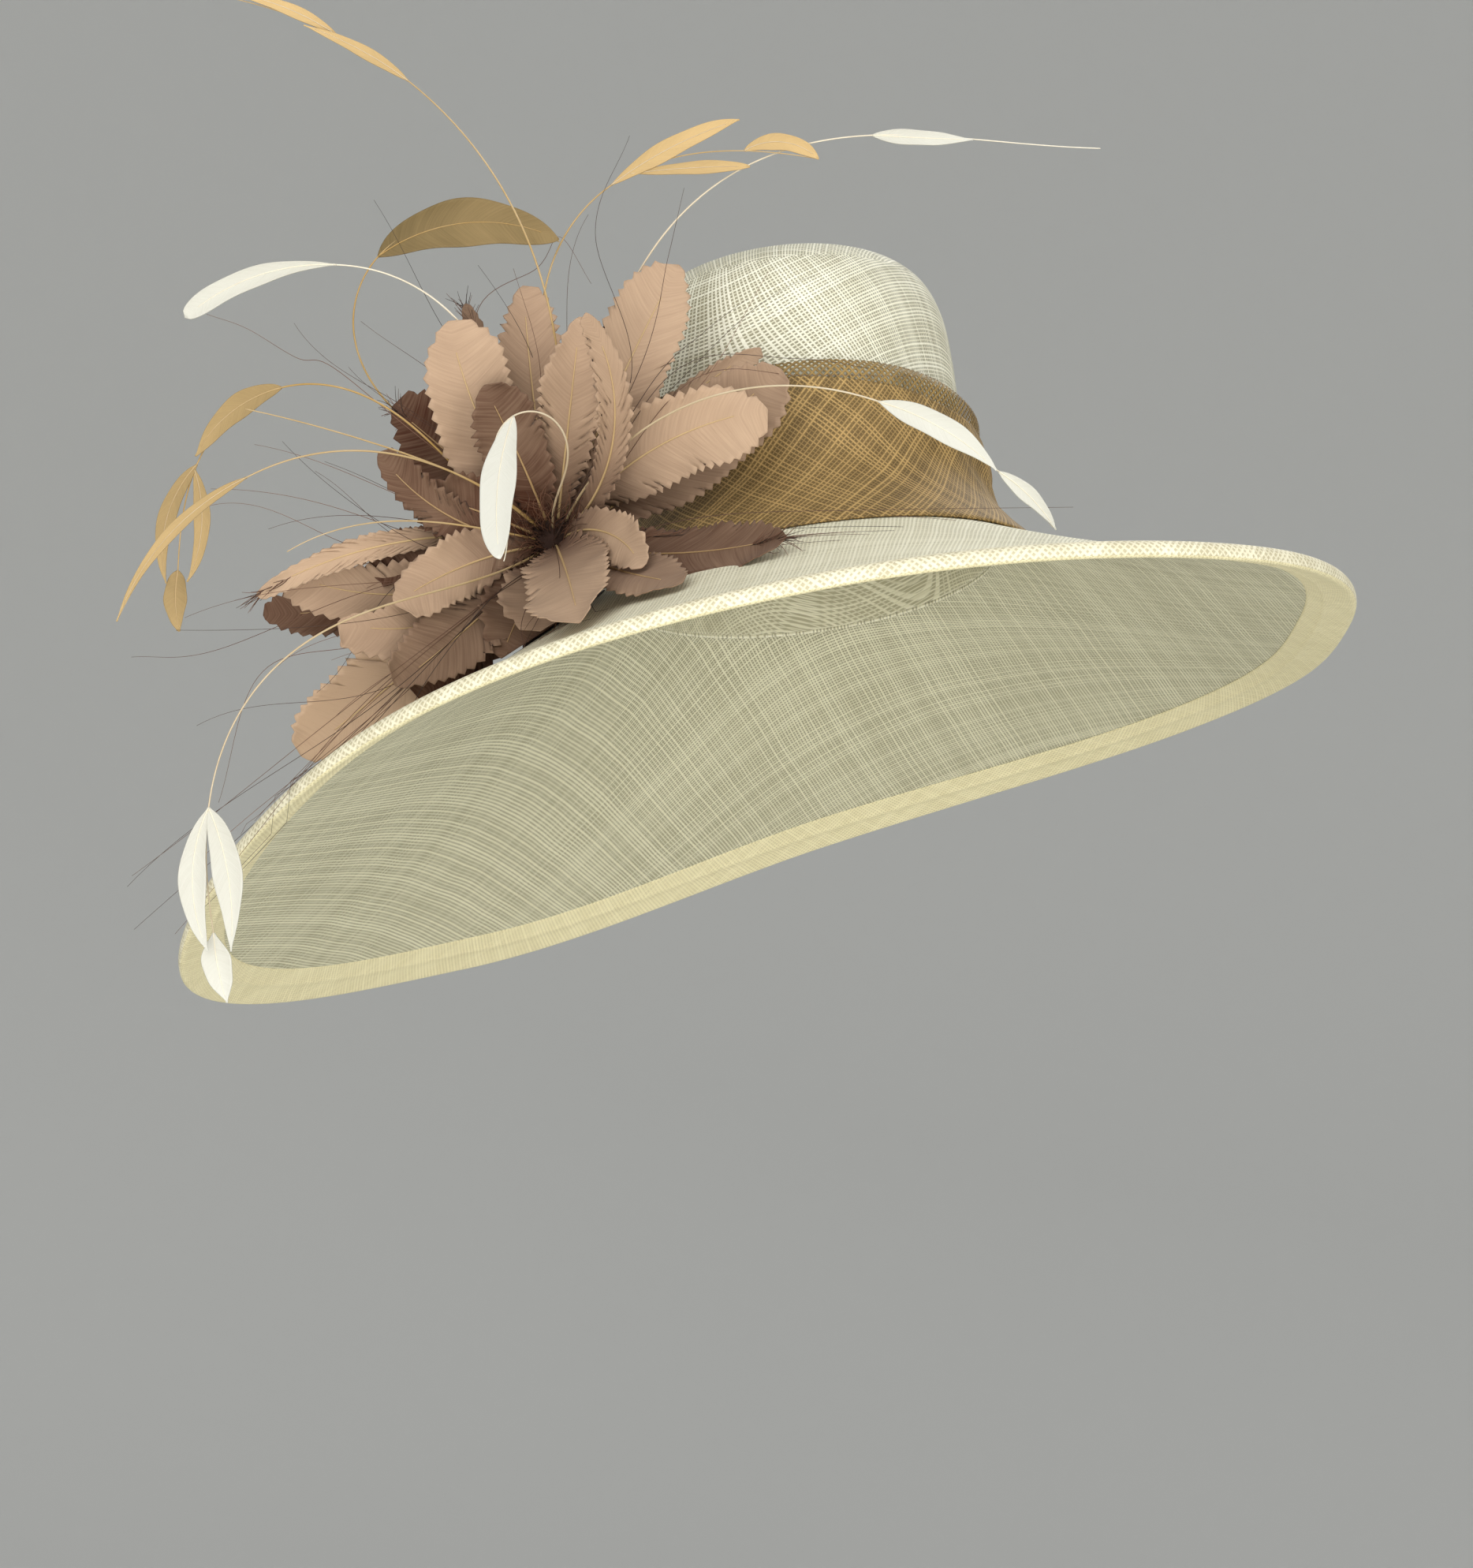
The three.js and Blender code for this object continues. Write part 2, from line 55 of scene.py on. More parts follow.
# The hat's driving sizes, millimetres and degrees
WORN_ROLL = -7
WORN_PITCH = -11
HEAD_WIDTH = 156
HEAD_LENGTH = 194
CROWN_HEIGHT = 126
CROWN_WALL = 2
CROWN_LEAN = 3.5
BRIM_REACH = 230
BRIM_DROP = 100
BRIM_BELLY = 0.25
BAND_HEIGHT = 62
BAND_FLARE = 16
BAND_FOLD = 1.6
BAND_FOLDS = 5
BAND_TOP_DIP = 0.12
SEAM_GAP = 0.3
HALF_WIDTH = HEAD_WIDTH / 2 + CROWN_WALL
HALF_LENGTH = HEAD_LENGTH / 2 + CROWN_WALL
STRAW_WALL = 1.4
SASH_WALL = 0.4
BINDING_LIFT = 2.4
CLOSE = 0.02 * MM

# The flower's knob beside the crown, and the feathers' driving sizes
FLOWER_AZIMUTH = 221
FLOWER_OUT = 41
FLOWER_RISE = 30.5
KNOB_RADIUS = 12
BACKING_RADIUS = 17
NECK_RADIUS = 8
PETAL_LENGTH = 100
PETAL_WIDTH = 36
PETAL_ROOT = 3.2
PETAL_CUP = 0.1
FEATHER_WALL = 0.4
QUILL_LENGTH = 200
QUILL_ROOT_RADIUS = 0.48
QUILL_TIP_RADIUS = 0.2
BLADE_LENGTH = 60
BLADE_WIDTH = 10
BLADE_ROOT = 0.8
PETAL_BELLY = 0.6
PETAL_FULLNESS = 1.15
TOOTH_SHORTEST = 3.2
TOOTH_LONGEST = 5.2
BARB_SLANT = 0.55
BARB_PITCH = 0.9
PATH_STEPS = 240

# The crown's half-width and height from seam to apex, as shares of the crown's
CROWN_PROFILE = [
    (1, 0), (0.955, 0.1), (0.92, 0.2), (0.885, 0.33), (0.87, 0.48), (0.86, 0.64),
    (0.835, 0.775), (0.76, 0.885), (0.61, 0.955), (0.36, 0.99), (0, 1),
]

# The rim's reach from the centre and its drop below the seam, at every 45 degrees from +X
RIM_REACH = [0.916, 1.017, 0.948, 1.034, 1.154, 1.017, 0.956, 1.005]
RIM_DROP = [0.5, 0.47, 0.7, 1.14, 1.33, 0.79, 0.57, 0.54]

# The sash from its folded top edge to its flare: height, and how far it stands off the crown
BAND_PROFILE = [
    (1, 0.16), (0.93, 0.3), (0.78, 0.24), (0.58, 0.3), (0.4, 0.14), (0.22, 0.2), (0.09, 0.5), (0, 1),
]

# The binding's section: depth inwards from the rim and lift from the brim's top, millimetres
BINDING_SECTION = [
    (7, 0.4), (7.1, 1.1), (6.2, 1.5), (3.5, 1.8), (0.8, 2.2), (-1.2, 1.8), (-2.3, 0.4), (-2.5, -1.3),
    (-2, -3), (-0.4, -4.1), (3, -3.7), (7, -3.3), (9.2, -3.7), (10.4, -3.6), (11.6, -3), (15.6, -2.2),
    (16.4, -1.8), (16, -1.5), (10, -1.7), (3, -2), (0.2, -2), (-0.3, -1), (0.2, 0.2), (3.5, 0.3),
]

# The petals: heading at the root (0 to the right, 90 up) and what it turns by, rise to the front and
# what it curls by, roll, length and width as shares, and tone from dark brown 0 to pale rose 1
# The tone is partly the feathers' own colour and partly painted shade: the petals deep in the flower, the
# inner ones and the shade ones, are given dark tones.
PETAL_COLUMNS = ("name", "turn", "lean", "rise", "curl", "roll", "length", "width", "tone")
PETALS = [
    ("up_left", 127, -26, 34, -25, 0, 0.87, 1, 0.8),
    ("up", 81, 2, 40, -25, 0, 0.83, 0.75, 0.75),
    ("up_folded", 40, 83, 48, -25, 0, 1.02, 0.39, 0.7),
    ("up_right", 69, -7, 14, -25, 0, 1.06, 0.94, 0.85),
    ("right", 50, -43, 32, -25, 0, 0.93, 0.97, 0.86),
    ("right_under", 31, 13, 18, -15, 0, 0.99, 1, 0.6),
    ("right_slim", 54, -23, 4, -15, 0, 0.99, 0.36, 0.75),
    ("curled", 22, -90, 66, -18, 0, 0.7, 0.56, 0.8),
    ("low_right", -14, 26, 47, -15, 48, 1.05, 0.86, 0.22),
    ("low_under", -33, 23, 65, -13, 49, 0.95, 0.82, 0.45),
    ("front", -60, -16, 79, -20, 0, 1, 1, 0.75),
    ("left", 193, 24, 46, -25, 0, 0.67, 0.72, 0.7),
    ("left_long", 212, -55, 22, -20, 0, 0.98, 0.72, 0.7),
    ("left_low", 233, -67, 36, -25, 0, 0.9, 0.72, 0.65),
    ("down_left", 223, -5, 16, -15, 0, 1.16, 1.03, 1),
    ("left_dark", 205, -25, 8, -15, 0, 1.05, 0.67, 0.15),
    ("left_pale", 174, 37, 27, -25, 0, 1.09, 0.31, 0.9),
    ("inner_left", 140, 0, 20, -25, 0, 0.7, 0.89, 0.1),
    ("inner_folded", 178, -53, 40, -25, 0, 0.74, 0.5, 0.2),
    ("inner_low", 230, -12, 41, -21, 4, 0.83, 0.78, 0.36),
    ("inner_up", 110, 8, 43, -20, 12, 0.63, 0.79, 0.22),
    ("rolled", 112, -3, 6, -20, 0, 0.88, 0.31, 0.35),
    ("top", 99, -5, 17, -25, 0, 0.88, 0.72, 0.65),
    ("skirt", 262, 6, 60, -14, 0, 0.5, 0.95, 0.5),
    # Dark petals with no frame node that paint shade among the flower's roots
    ("shade_left", 188, 6, 26, -20, 0, 0.62, 0.8, 0.12),
    ("shade_low", 230, 0, 24, -20, 0, 0.7, 0.8, 0.1),
    ("shade_middle", 158, 6, 40, -20, 0, 0.5, 0.8, 0.12),
    ("shade_down", 246, 4, 46, -22, 0, 0.5, 0.95, 0.2),
]

# Petals that are too soft and small for the frame
LOOSE_PETALS = ("skirt", "shade_left", "shade_low", "shade_middle", "shade_down")

# The stripped quills; sway and arch say where along it a quill turns, tone is from golden 0 to white 1
QUILL_COLUMNS = ("name", "turn", "lean", "sway", "arch", "rise", "curl", "length", "tone")
QUILLS = [
    ("white_arch", 108, 109, -11, -17, 26, -24, 0.98, 1),
    ("tan_tall", 82, 85, -3, -5, 28, -30, 1.27, 0.2),
    ("tan_leaf", 132, -159, 24, 40, 8, -8, 1.04, 0.1),
    ("tan_forked", 90, -99, 16, 19, 8, -16, 1.08, 0.2),
    ("white_long", 76, -77, 16, -5, 2, -6, 1.48, 0.9),
    ("white_hook", 93, 162, -65, 2, 64, -50, 0.74, 0.85),
    ("tan_cluster", 150, 120, -28, -20, 30, -30, 1.12, 0.1),
    ("golden", 139, 105, -5, -2, 52, -60, 1.03, 0.3),
    ("white_low", 217, 68, -17, -26, 54, -50, 1.33, 0.5),
    ("white_right", 61, -112, 2, -7, 42, -38, 1.18, 0.7),
    ("bare_upper", 137, 32, 2, 9, 43, -32, 0.64, 0.2),
    ("bare_lower", 172, 40, 0, -13, 54, -50, 0.54, 0.3),
]

# The blades on them: where each starts, how it heads off, its size, where it is widest, how much
# its outline pulls in to both ends, and its tone
BLADE_COLUMNS = ("quill", "start", "swing", "lean", "length", "width", "belly", "fullness", "tone")
BLADES = [
    ("white_arch", 0.69, -1, 45, 1.02, 0.85, 0.72, 1.3, 0.7),
    ("tan_tall", 0.72, 1, 19, 0.72, 0.46, 0.42, 1.9, 0.75),
    ("tan_tall", 0.84, -8, 26, 0.72, 0.46, 0.42, 1.9, 0.85),
    ("tan_leaf", 0.64, -12, -62, 1.22, 1.8, 0.5, 1.5, 0.12),
    ("tan_forked", 0.62, 2, -20, 0.93, 0.75, 0.5, 1.8, 0.8),
    ("tan_forked", 0.66, -20, -8, 0.77, 0.5, 0.6, 1.6, 0.7),
    ("tan_forked", 0.87, 33, -76, 0.52, 0.65, 0.5, 1.4, 0.8),
    ("white_long", 0.7, -6, 2, 0.65, 0.6, 0.4, 1.6, 0.8),
    ("white_hook", 0.57, 39, 27, 1.13, 1.25, 0.55, 1.3, 0.9),
    ("tan_cluster", 0.52, 0, 50, 0.72, 0.9, 0.42, 1.7, 0.4),
    ("tan_cluster", 0.72, -20, 57, 0.8, 0.65, 0.42, 1.8, 0.45),
    ("tan_cluster", 0.73, 39, -44, 0.72, 0.6, 0.42, 1.8, 0.55),
    ("tan_cluster", 0.9, -8, 23, 0.38, 0.85, 0.42, 1.6, 0.4),
    ("golden", 0.65, -2, 45, 1.22, 0.45, 0.4, 1.9, 0.6),
    ("white_low", 0.74, 30, -28, 0.9, 1.05, 0.42, 2.1, 0.75),
    ("white_low", 0.74, -18, 50, 0.9, 0.95, 0.5, 2.1, 0.75),
    ("white_low", 0.91, -6, 15, 0.42, 1.05, 0.46, 2.2, 0.8),
    ("white_right", 0.66, 3, -29, 0.87, 0.95, 0.45, 1.9, 0.9),
    ("white_right", 0.88, 8, -26, 0.5, 0.6, 0.42, 2.0, 0.9),
]

# Loose bunches of hair-fine filaments: how many, middle and spread of their heading, how much they
# bend and curl up, rise to the front and what it changes by, and shortest and longest length
BUNCH_COLUMNS = ("count", "turn", "spread", "bend", "wave", "rise", "curl", "shortest", "longest")
BUNCHES = [
    (11, 226, 1.2, 7, 6, 36, -36, 150, 222),
    (5, 216, 14, 60, 20, 30, -30, 90, 160),
    (3, 198, 8, 40, 18, 34, -34, 90, 150),
    (8, 172, 20, 46, 18, 24, -26, 50, 130),
    (16, 268, 24, 46, 26, 70, -30, 42, 84),
    (7, 300, 18, 60, 22, 64, -30, 50, 96),
    (5, 4, 8, 20, 12, 40, -20, 90, 150),
    (5, 84, 24, 44, 16, 18, -16, 100, 150),
    (5, 130, 18, 44, 18, 22, -20, 70, 130),
    (170, 270, 180, 70, 40, 60, -30, 10, 30),
    (60, 250, 34, 40, 20, 30, -20, 14, 36),
    (90, 270, 180, 60, 30, -10, -30, 8, 24),
]

# Filaments that stand out, each through a few points: to the right, up and to the front of the
# flower's middle, millimetres
ROUTES = [
    [(0, 0, 14), (30, 62, 20), (16, 118, 12), (29, 156, 8)],
    [(0, 0, 12), (34, 66, 26), (44, 108, 18), (50, 135, 14)],
    [(4, 4, 14), (38, 58, 34), (58, 78, 30), (74, 91, 26)],
    [(6, 2, 12), (46, 62, 34), (92, 70, 12), (138, 67, -22)],
    [(8, 2, 12), (52, 58, 36), (96, 63, 16), (140, 66, -14)],
    [(10, -2, 18), (60, 8, 34), (120, 9, 52), (194, 9, 66)],
    [(10, -2, 20), (52, 2, 36), (86, -1, 48), (108, 0, 55), (111, -3, 56), (114, 1, 57)],
    [(8, -6, 24), (44, -8, 44), (54, -18, 50), (62, -34, 54)],
    [(-8, -2, 10), (-70, -20, 30), (-130, -42, 14), (-163, -44, 4)],
    [(-10, -8, 12), (-64, -38, 30), (-110, -50, 22), (-128, -100, 14)],
    [(-8, 6, 10), (-52, 40, 30), (-84, 66, 20), (-98, 70, 14), (-118, 82, 8), (-134, 88, 4)],
    [(-6, 6, 8), (-30, 82, 14), (-6, 106, 6), (2, 118, 2), (14, 100, 2)],
    [(-4, -8, 20), (-24, -26, 46), (-50, -62, 48), (-46, -76, 46)],
    [(0, -8, 24), (-10, -34, 54), (-2, -52, 60), (12, -58, 60)],
]

# Fans of soft barbs at torn petal tips: the petal, how many, from where on its length, how far they
# spread from its heading, and their length
TUFT_COLUMNS = ("petal", "count", "start", "spread", "length")
TUFTS = [
    ("rolled", 34, 0.82, 46, 11),
    ("inner_left", 26, 0.86, 50, 9),
    ("low_right", 40, 0.82, 34, 12),
    ("left_pale", 22, 0.86, 24, 10),
]

# The woven straws: colour in the gaps and of the threads, spacing as a share of the pitch, turn of the
# weave in degrees, thread as a share of the spacing, how much can be seen through the gaps, how much
# the threads vary in width and in tint, and how much the cloth drifts in colour
STRAWS = {
    "blocked_sinamay_crown": ("#a39b70", "#fbf8e4", 1, 4, 0.6, 0.5, 0.16, 0.3, 0.25),
    # The crown wall's inner face, the same straw as its outer face, given darker colours as painted shade
    # inside the crown.
    "blocked_sinamay_crown_inside_painted_shade": ("#9a9370", "#e0dbbd", 1, 31, 0.6, 0.1, 0.16, 0.3, 0.25),
    "blocked_sinamay_brim": ("#c2ba92", "#faf6dd", 1, 8, 0.7, 0.3, 0.12, 0.2, 0.25),
    # The brim's underside is the same straw as its top, given darker, greyer colours as painted shade.
    "blocked_sinamay_underbrim_painted_shade": ("#958f69", "#e4dfc0", 0.9, 20, 0.6, 0.3, 0.16, 0.3, 0.25),
    "bias_sinamay_binding": ("#ada078", "#faf3d6", 1.3, 45, 0.6, 0.0, 0.14, 0.2, 0.25),
    "doubled_sinamay_hem": ("#c3b584", "#f9efc4", 0.9, 38, 0.66, 0.0, 0.12, 0.16, 0.25),
    "bias_sinamay_sash": ("#3d2d12", "#bc9b62", 1, 50, 0.44, 0.12, 0.12, 0.45, 0.3),
    "bias_sinamay_band": ("#4a3a1c", "#a88a52", 1.25, 41, 0.5, 1.0, 0.06, 0.35, 0.3),
}


def linear(hex_colour):
    """A linear RGBA colour from an sRGB hex value such as "#c0a080"."""
    channels = np.array([int(hex_colour[i : i + 2], 16) / 255 for i in (1, 3, 5)])
    low = channels / 12.92
    high = ((channels + 0.055) / 1.055) ** 2.4
    return (*np.where(channels <= 0.04045, low, high), 1.0)


def rows_of(columns, table):
    """A table's rows as dictionaries by column name."""
    return [dict(zip(columns, row)) for row in table]


def spline(points, count):
    """A Catmull-Rom curve through points, ends kept: each stretch between two points is the cubic
    whose slopes at them are half the way from the point before to the point after."""
    points = np.asarray(points, float)
    padded = np.vstack([2 * points[0] - points[1], points, 2 * points[-1] - points[-2]])
    place = np.linspace(0, len(points) - 1, count)
    low = np.minimum(place.astype(int), len(points) - 2)
    t = (place - low)[:, None]
    a, b, c, d = (padded[low + k] for k in range(4))
    return b + 0.5 * t * (c - a + t * (2 * a - 5 * b + 4 * c - d + t * (3 * (b - c) + d - a)))


def closed_spline(points, count):
    """The same curve through a closed loop of points, without a repeat of its first point."""
    points = np.asarray(points, float)
    place = np.arange(count) * len(points) / count
    low = place.astype(int)
    t = (place - low).reshape(-1, *[1] * (points.ndim - 1))
    a, b, c, d = (points[(low + k) % len(points)] for k in (-1, 0, 1, 2))
    return b + 0.5 * t * (c - a + t * (2 * a - 5 * b + 4 * c - d + t * (3 * (b - c) + d - a)))


def rim_value(values, angle):
    """The closed Catmull-Rom curve through the rim's rows, read at angles in radians."""
    values = np.asarray(values)
    place = (np.degrees(angle) % 360) * len(values) / 360
    low = np.floor(place).astype(int)
    t = place - low
    a, b, c, d = (values[(low + k) % len(values)] for k in (-1, 0, 1, 2))
    return b + 0.5 * t * (c - a + t * (2 * a - 5 * b + 4 * c - d + t * (3 * (b - c) + d - a)))


def oval_radius(angle):
    """Radius of the oval seam: the ellipse with the crown's half-width and half-length."""
    across = HALF_WIDTH * np.sin(angle)
    along = HALF_LENGTH * np.cos(angle)
    return HALF_WIDTH * HALF_LENGTH / np.hypot(across, along)


def worn(points):
    """Turns level points to how the hat is worn: pitched about X, then rolled about Y."""
    pitch, roll = np.radians([WORN_PITCH, WORN_ROLL])
    x, y, z = np.moveaxis(np.asarray(points, float), -1, 0)
    y, z = y * np.cos(pitch) - z * np.sin(pitch), y * np.sin(pitch) + z * np.cos(pitch)
    x, z = x * np.cos(roll) + z * np.sin(roll), -x * np.sin(roll) + z * np.cos(roll)
    return np.stack([x, y, z], -1)


def brim_point(angle, share):
    """A point on top of the brim: out from the seam by share of the way to the rim, and down by the
    rim's drop times share, with a belly that lets it fall sooner."""
    inner = oval_radius(angle)
    radius = inner + (rim_value(RIM_REACH, angle) * BRIM_REACH - inner) * share
    fall = np.maximum(share * (1 + BRIM_BELLY * (1 - share)), 0)
    drop = rim_value(RIM_DROP, angle) * BRIM_DROP * fall
    return np.stack([radius * np.cos(angle), radius * np.sin(angle), -drop], -1)


def brim_share(angle, distance):
    """The share of the brim that a distance in millimetres takes up."""
    return distance / (rim_value(RIM_REACH, angle) * BRIM_REACH - oval_radius(angle))


def over_brim(points, gap):
    """Worn points lifted to a gap above the brim's top wherever they would lie lower, and above the
    binding near the rim. Points further along a strand than where it passes the rim hang free."""
    turned = worn(np.eye(3))
    level = points @ turned.T
    angle = np.arctan2(level[..., 1], level[..., 0])
    share = brim_share(angle, np.hypot(level[..., 0], level[..., 1]) - oval_radius(angle))
    top = brim_point(angle, share)[..., 2] + gap + np.where(share > 0.93, BINDING_LIFT, 0)
    free = np.maximum.accumulate(share > 1.03, axis=0)
    level[..., 2] = np.where(free, level[..., 2], np.maximum(level[..., 2], top))
    return level @ turned


def along_rows(points):
    """Length run along each column of a grid of points, from its first row."""
    steps = np.linalg.norm(np.diff(points, axis=0), axis=-1)
    return np.vstack([np.zeros(points.shape[1]), np.cumsum(steps, axis=0)])


def around_ring(points):
    """Length run round a closed ring of points, from its first point back to it."""
    steps = np.linalg.norm(points - np.roll(points, -1, 0), axis=-1)
    return np.concatenate([[0], np.cumsum(steps)])


def flower_centre():
    """The middle of the flower's knob on the level hat: above the brim, out from the crown's seam."""
    angle = np.radians(FLOWER_AZIMUTH)
    centre = brim_point(angle, brim_share(angle, FLOWER_OUT))
    centre[2] += FLOWER_RISE
    return centre


def make_mesh(name, grids, materials):
    """One object from grids of points. Each grid is a dictionary: points (rows, columns, 3) in
    millimetres, uv (rows, columns, 2) in metres with one more column where the grid closes round,
    closed, flip, the material's number and any point attributes, one value a point. Each square of
    four neighbouring points is a face."""
    co, faces, uvs, numbers = [], [], [], []
    attributes = {}
    start = 0
    for grid in grids:
        points = np.asarray(grid["points"], float)
        rows, columns = points.shape[:2]
        index = start + np.arange(rows * columns).reshape(rows, columns)
        if grid.get("closed"):
            index = np.hstack([index, index[:, :1]])
        quads = np.stack([index[:-1, :-1], index[:-1, 1:], index[1:, 1:], index[1:, :-1]], -1)
        uv = np.asarray(grid["uv"], float)
        corners = np.stack([uv[:-1, :-1], uv[:-1, 1:], uv[1:, 1:], uv[1:, :-1]], -2)
        if grid.get("flip"):
            quads, corners = quads[..., ::-1], corners[..., ::-1, :]
        co.append(points.reshape(-1, 3) * MM)
        faces.append(quads.reshape(-1, 4))
        uvs.append(corners.reshape(-1, 2))
        numbers.append(np.full(faces[-1].shape[0], grid.get("material", 0)))
        for key, value in grid.get("attributes", {}).items():
            attributes.setdefault(key, []).append(np.broadcast_to(value, (rows, columns)).ravel())
        start += rows * columns
    faces = np.concatenate(faces)
    mesh = bpy.data.meshes.new(name)
    mesh.vertices.add(start)
    mesh.vertices.foreach_set("co", np.concatenate(co).ravel())
    mesh.loops.add(faces.size)
    mesh.loops.foreach_set("vertex_index", faces.ravel())
    mesh.polygons.add(len(faces))
    mesh.polygons.foreach_set("loop_start", np.arange(len(faces)) * 4)
    mesh.polygons.foreach_set("material_index", np.concatenate(numbers).astype(np.int32))
    layer = mesh.uv_layers.new(name="fabric")
    layer.data.foreach_set("uv", np.concatenate(uvs).ravel())
    for key, values in attributes.items():
        attribute = mesh.attributes.new(key, "FLOAT", "POINT")
        attribute.data.foreach_set("value", np.concatenate(values))
    mesh.update(calc_edges=True)
    mesh.validate()
    for material in materials:
        mesh.materials.append(material)
    mesh.polygons.foreach_set("use_smooth", np.full(len(mesh.polygons), True))
    made = bpy.data.objects.new(name, mesh)
    bpy.context.scene.collection.objects.link(made)
    return made


def make_piece(name, grids, materials, nodes=()):
    """A piece of the hat from grids of points: it rides on the hat and stands for the nodes given, whose
    frame parts it hides."""
    piece = make_mesh(name, grids, materials)
    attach(piece, "root")
    if nodes:
        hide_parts(*nodes)
    return piece


def merge_doubles(piece):
    """Merges vertices that lie as good as in one place, which closes poles and seams."""
    shell = bmesh.new()
    shell.from_mesh(piece.data)
    bmesh.ops.remove_doubles(shell, verts=shell.verts, dist=CLOSE)
    shell.to_mesh(piece.data)
    shell.free()


def give_wall(piece, wall, offset=-1.0, inner_material=0):
    """Gives a sheet its wall in millimetres: offset -1 grows it inwards and 0 to both sides."""
    solid = piece.modifiers.new("wall", "SOLIDIFY")
    solid.thickness = wall * MM
    solid.offset = offset
    solid.use_even_offset = False
    solid.material_offset = inner_material
    return solid


def tube(path, across, towards, radius, sides, uv_scale=1.0):
    """A round tube carried along a path: at each point a circle of the given radius in the plane of
    its two side directions. Both ends run into a point so that the tube is closed."""
    angle = np.arange(sides) * 2 * np.pi / sides
    radius = np.broadcast_to(radius, len(path)).copy()
    ring = np.cos(angle)[None, :, None] * across[:, None] + np.sin(angle)[None, :, None] * towards[:, None]
    points = path[:, None] + radius[:, None, None] * ring
    first = np.broadcast_to(path[0], (1, sides, 3))
    last = np.broadcast_to(path[-1], (1, sides, 3))
    points = np.concatenate([first, points, last])
    run = along_rows(points)[:, :1] * MM * uv_scale
    round_it = np.linspace(0, 1, sides + 1)[None] * 2 * np.pi * radius.max() * MM
    uv = np.stack(np.broadcast_arrays(run, round_it), -1)
    return {"points": points, "uv": uv, "closed": True}


def feather_path(row, length, start=None, steps=PATH_STEPS):
    """A feather's path: its heading turns by lean, sway and arch and its slope by curl on the way, and
    the points are the running sum of its directions. Returns points, along, across and towards."""
    s = np.linspace(0, 1, steps + 1)
    swing = row.get("sway", 0) * np.sin(2 * np.pi * s) + row.get("arch", 0) * np.sin(np.pi * s)
    heading = np.radians(row["turn"] + row["lean"] * s + swing)
    slope = np.radians(row["rise"] + row["curl"] * s)
    along = np.stack([np.cos(slope) * np.cos(heading), -np.sin(slope), np.cos(slope) * np.sin(heading)], -1)
    flat = np.stack([-np.sin(heading), np.zeros_like(s), np.cos(heading)], -1)
    roll = -np.radians(row.get("roll", 0))
    across = flat * np.cos(roll) + np.cross(along, flat) * np.sin(roll)
    towards = np.cross(along, across)
    begin = along[0] * (KNOB_RADIUS + SEAM_GAP) if start is None else start
    middle = (along[1:] + along[:-1]) / 2
    points = begin + np.vstack([np.zeros(3), np.cumsum(middle, axis=0) * length / steps])
    return {
        "points": points,
        "along": along,
        "across": across,
        "towards": towards,
        "heading": heading,
        "slope": slope,
    }


def at(path, key, share):
    """A path's points or directions at shares of its length, by straight interpolation."""
    known = np.linspace(0, 1, len(path[key]))
    values = path[key]
    if values.ndim == 1:
        return np.interp(share, known, values)
    return np.stack([np.interp(share, known, values[:, k]) for k in range(3)], -1)


def half_width(share, width, root, rise, fall):
    """A vane's half-width: a leaf, share to the power rise times what is left of it to the power fall,
    made 1 where it is widest, and a stalk that thins to its tip."""
    widest = rise / (rise + fall)
    peak = widest**rise * (1 - widest) ** fall
    leaf = share**rise * (1 - share) ** fall / peak
    return 0.5 * np.maximum(width * leaf, root * (1 - share))


def barb_rows(length, rng):
    """Where a vane's barbs end, as shares of its length, and a depth for the tooth there. Teeth follow
    each other, each with a random length, and are triangles: the depth rises and falls along each
    tooth, times a random number that drifts from tooth to tooth, and one in ten is torn deeper."""
    pitch = rng.uniform(TOOTH_SHORTEST, TOOTH_LONGEST, int(length / TOOTH_SHORTEST) + 1)
    corners = np.concatenate([[0], np.cumsum(pitch)])
    corners = corners[corners < length]
    corners = corners / corners[-1]
    place = np.arange(4 * (len(corners) - 1) + 1) / 4
    number = np.arange(len(corners))
    end = np.interp(place, number, corners)
    deep = rng.uniform(0.5, 1.2, len(corners)) * np.where(rng.uniform(0, 1, len(corners)) > 0.9, 1.9, 1)
    depth = np.interp(place, number, deep)
    return end, depth * (1 - np.abs(2 * (place % 1) - 1))


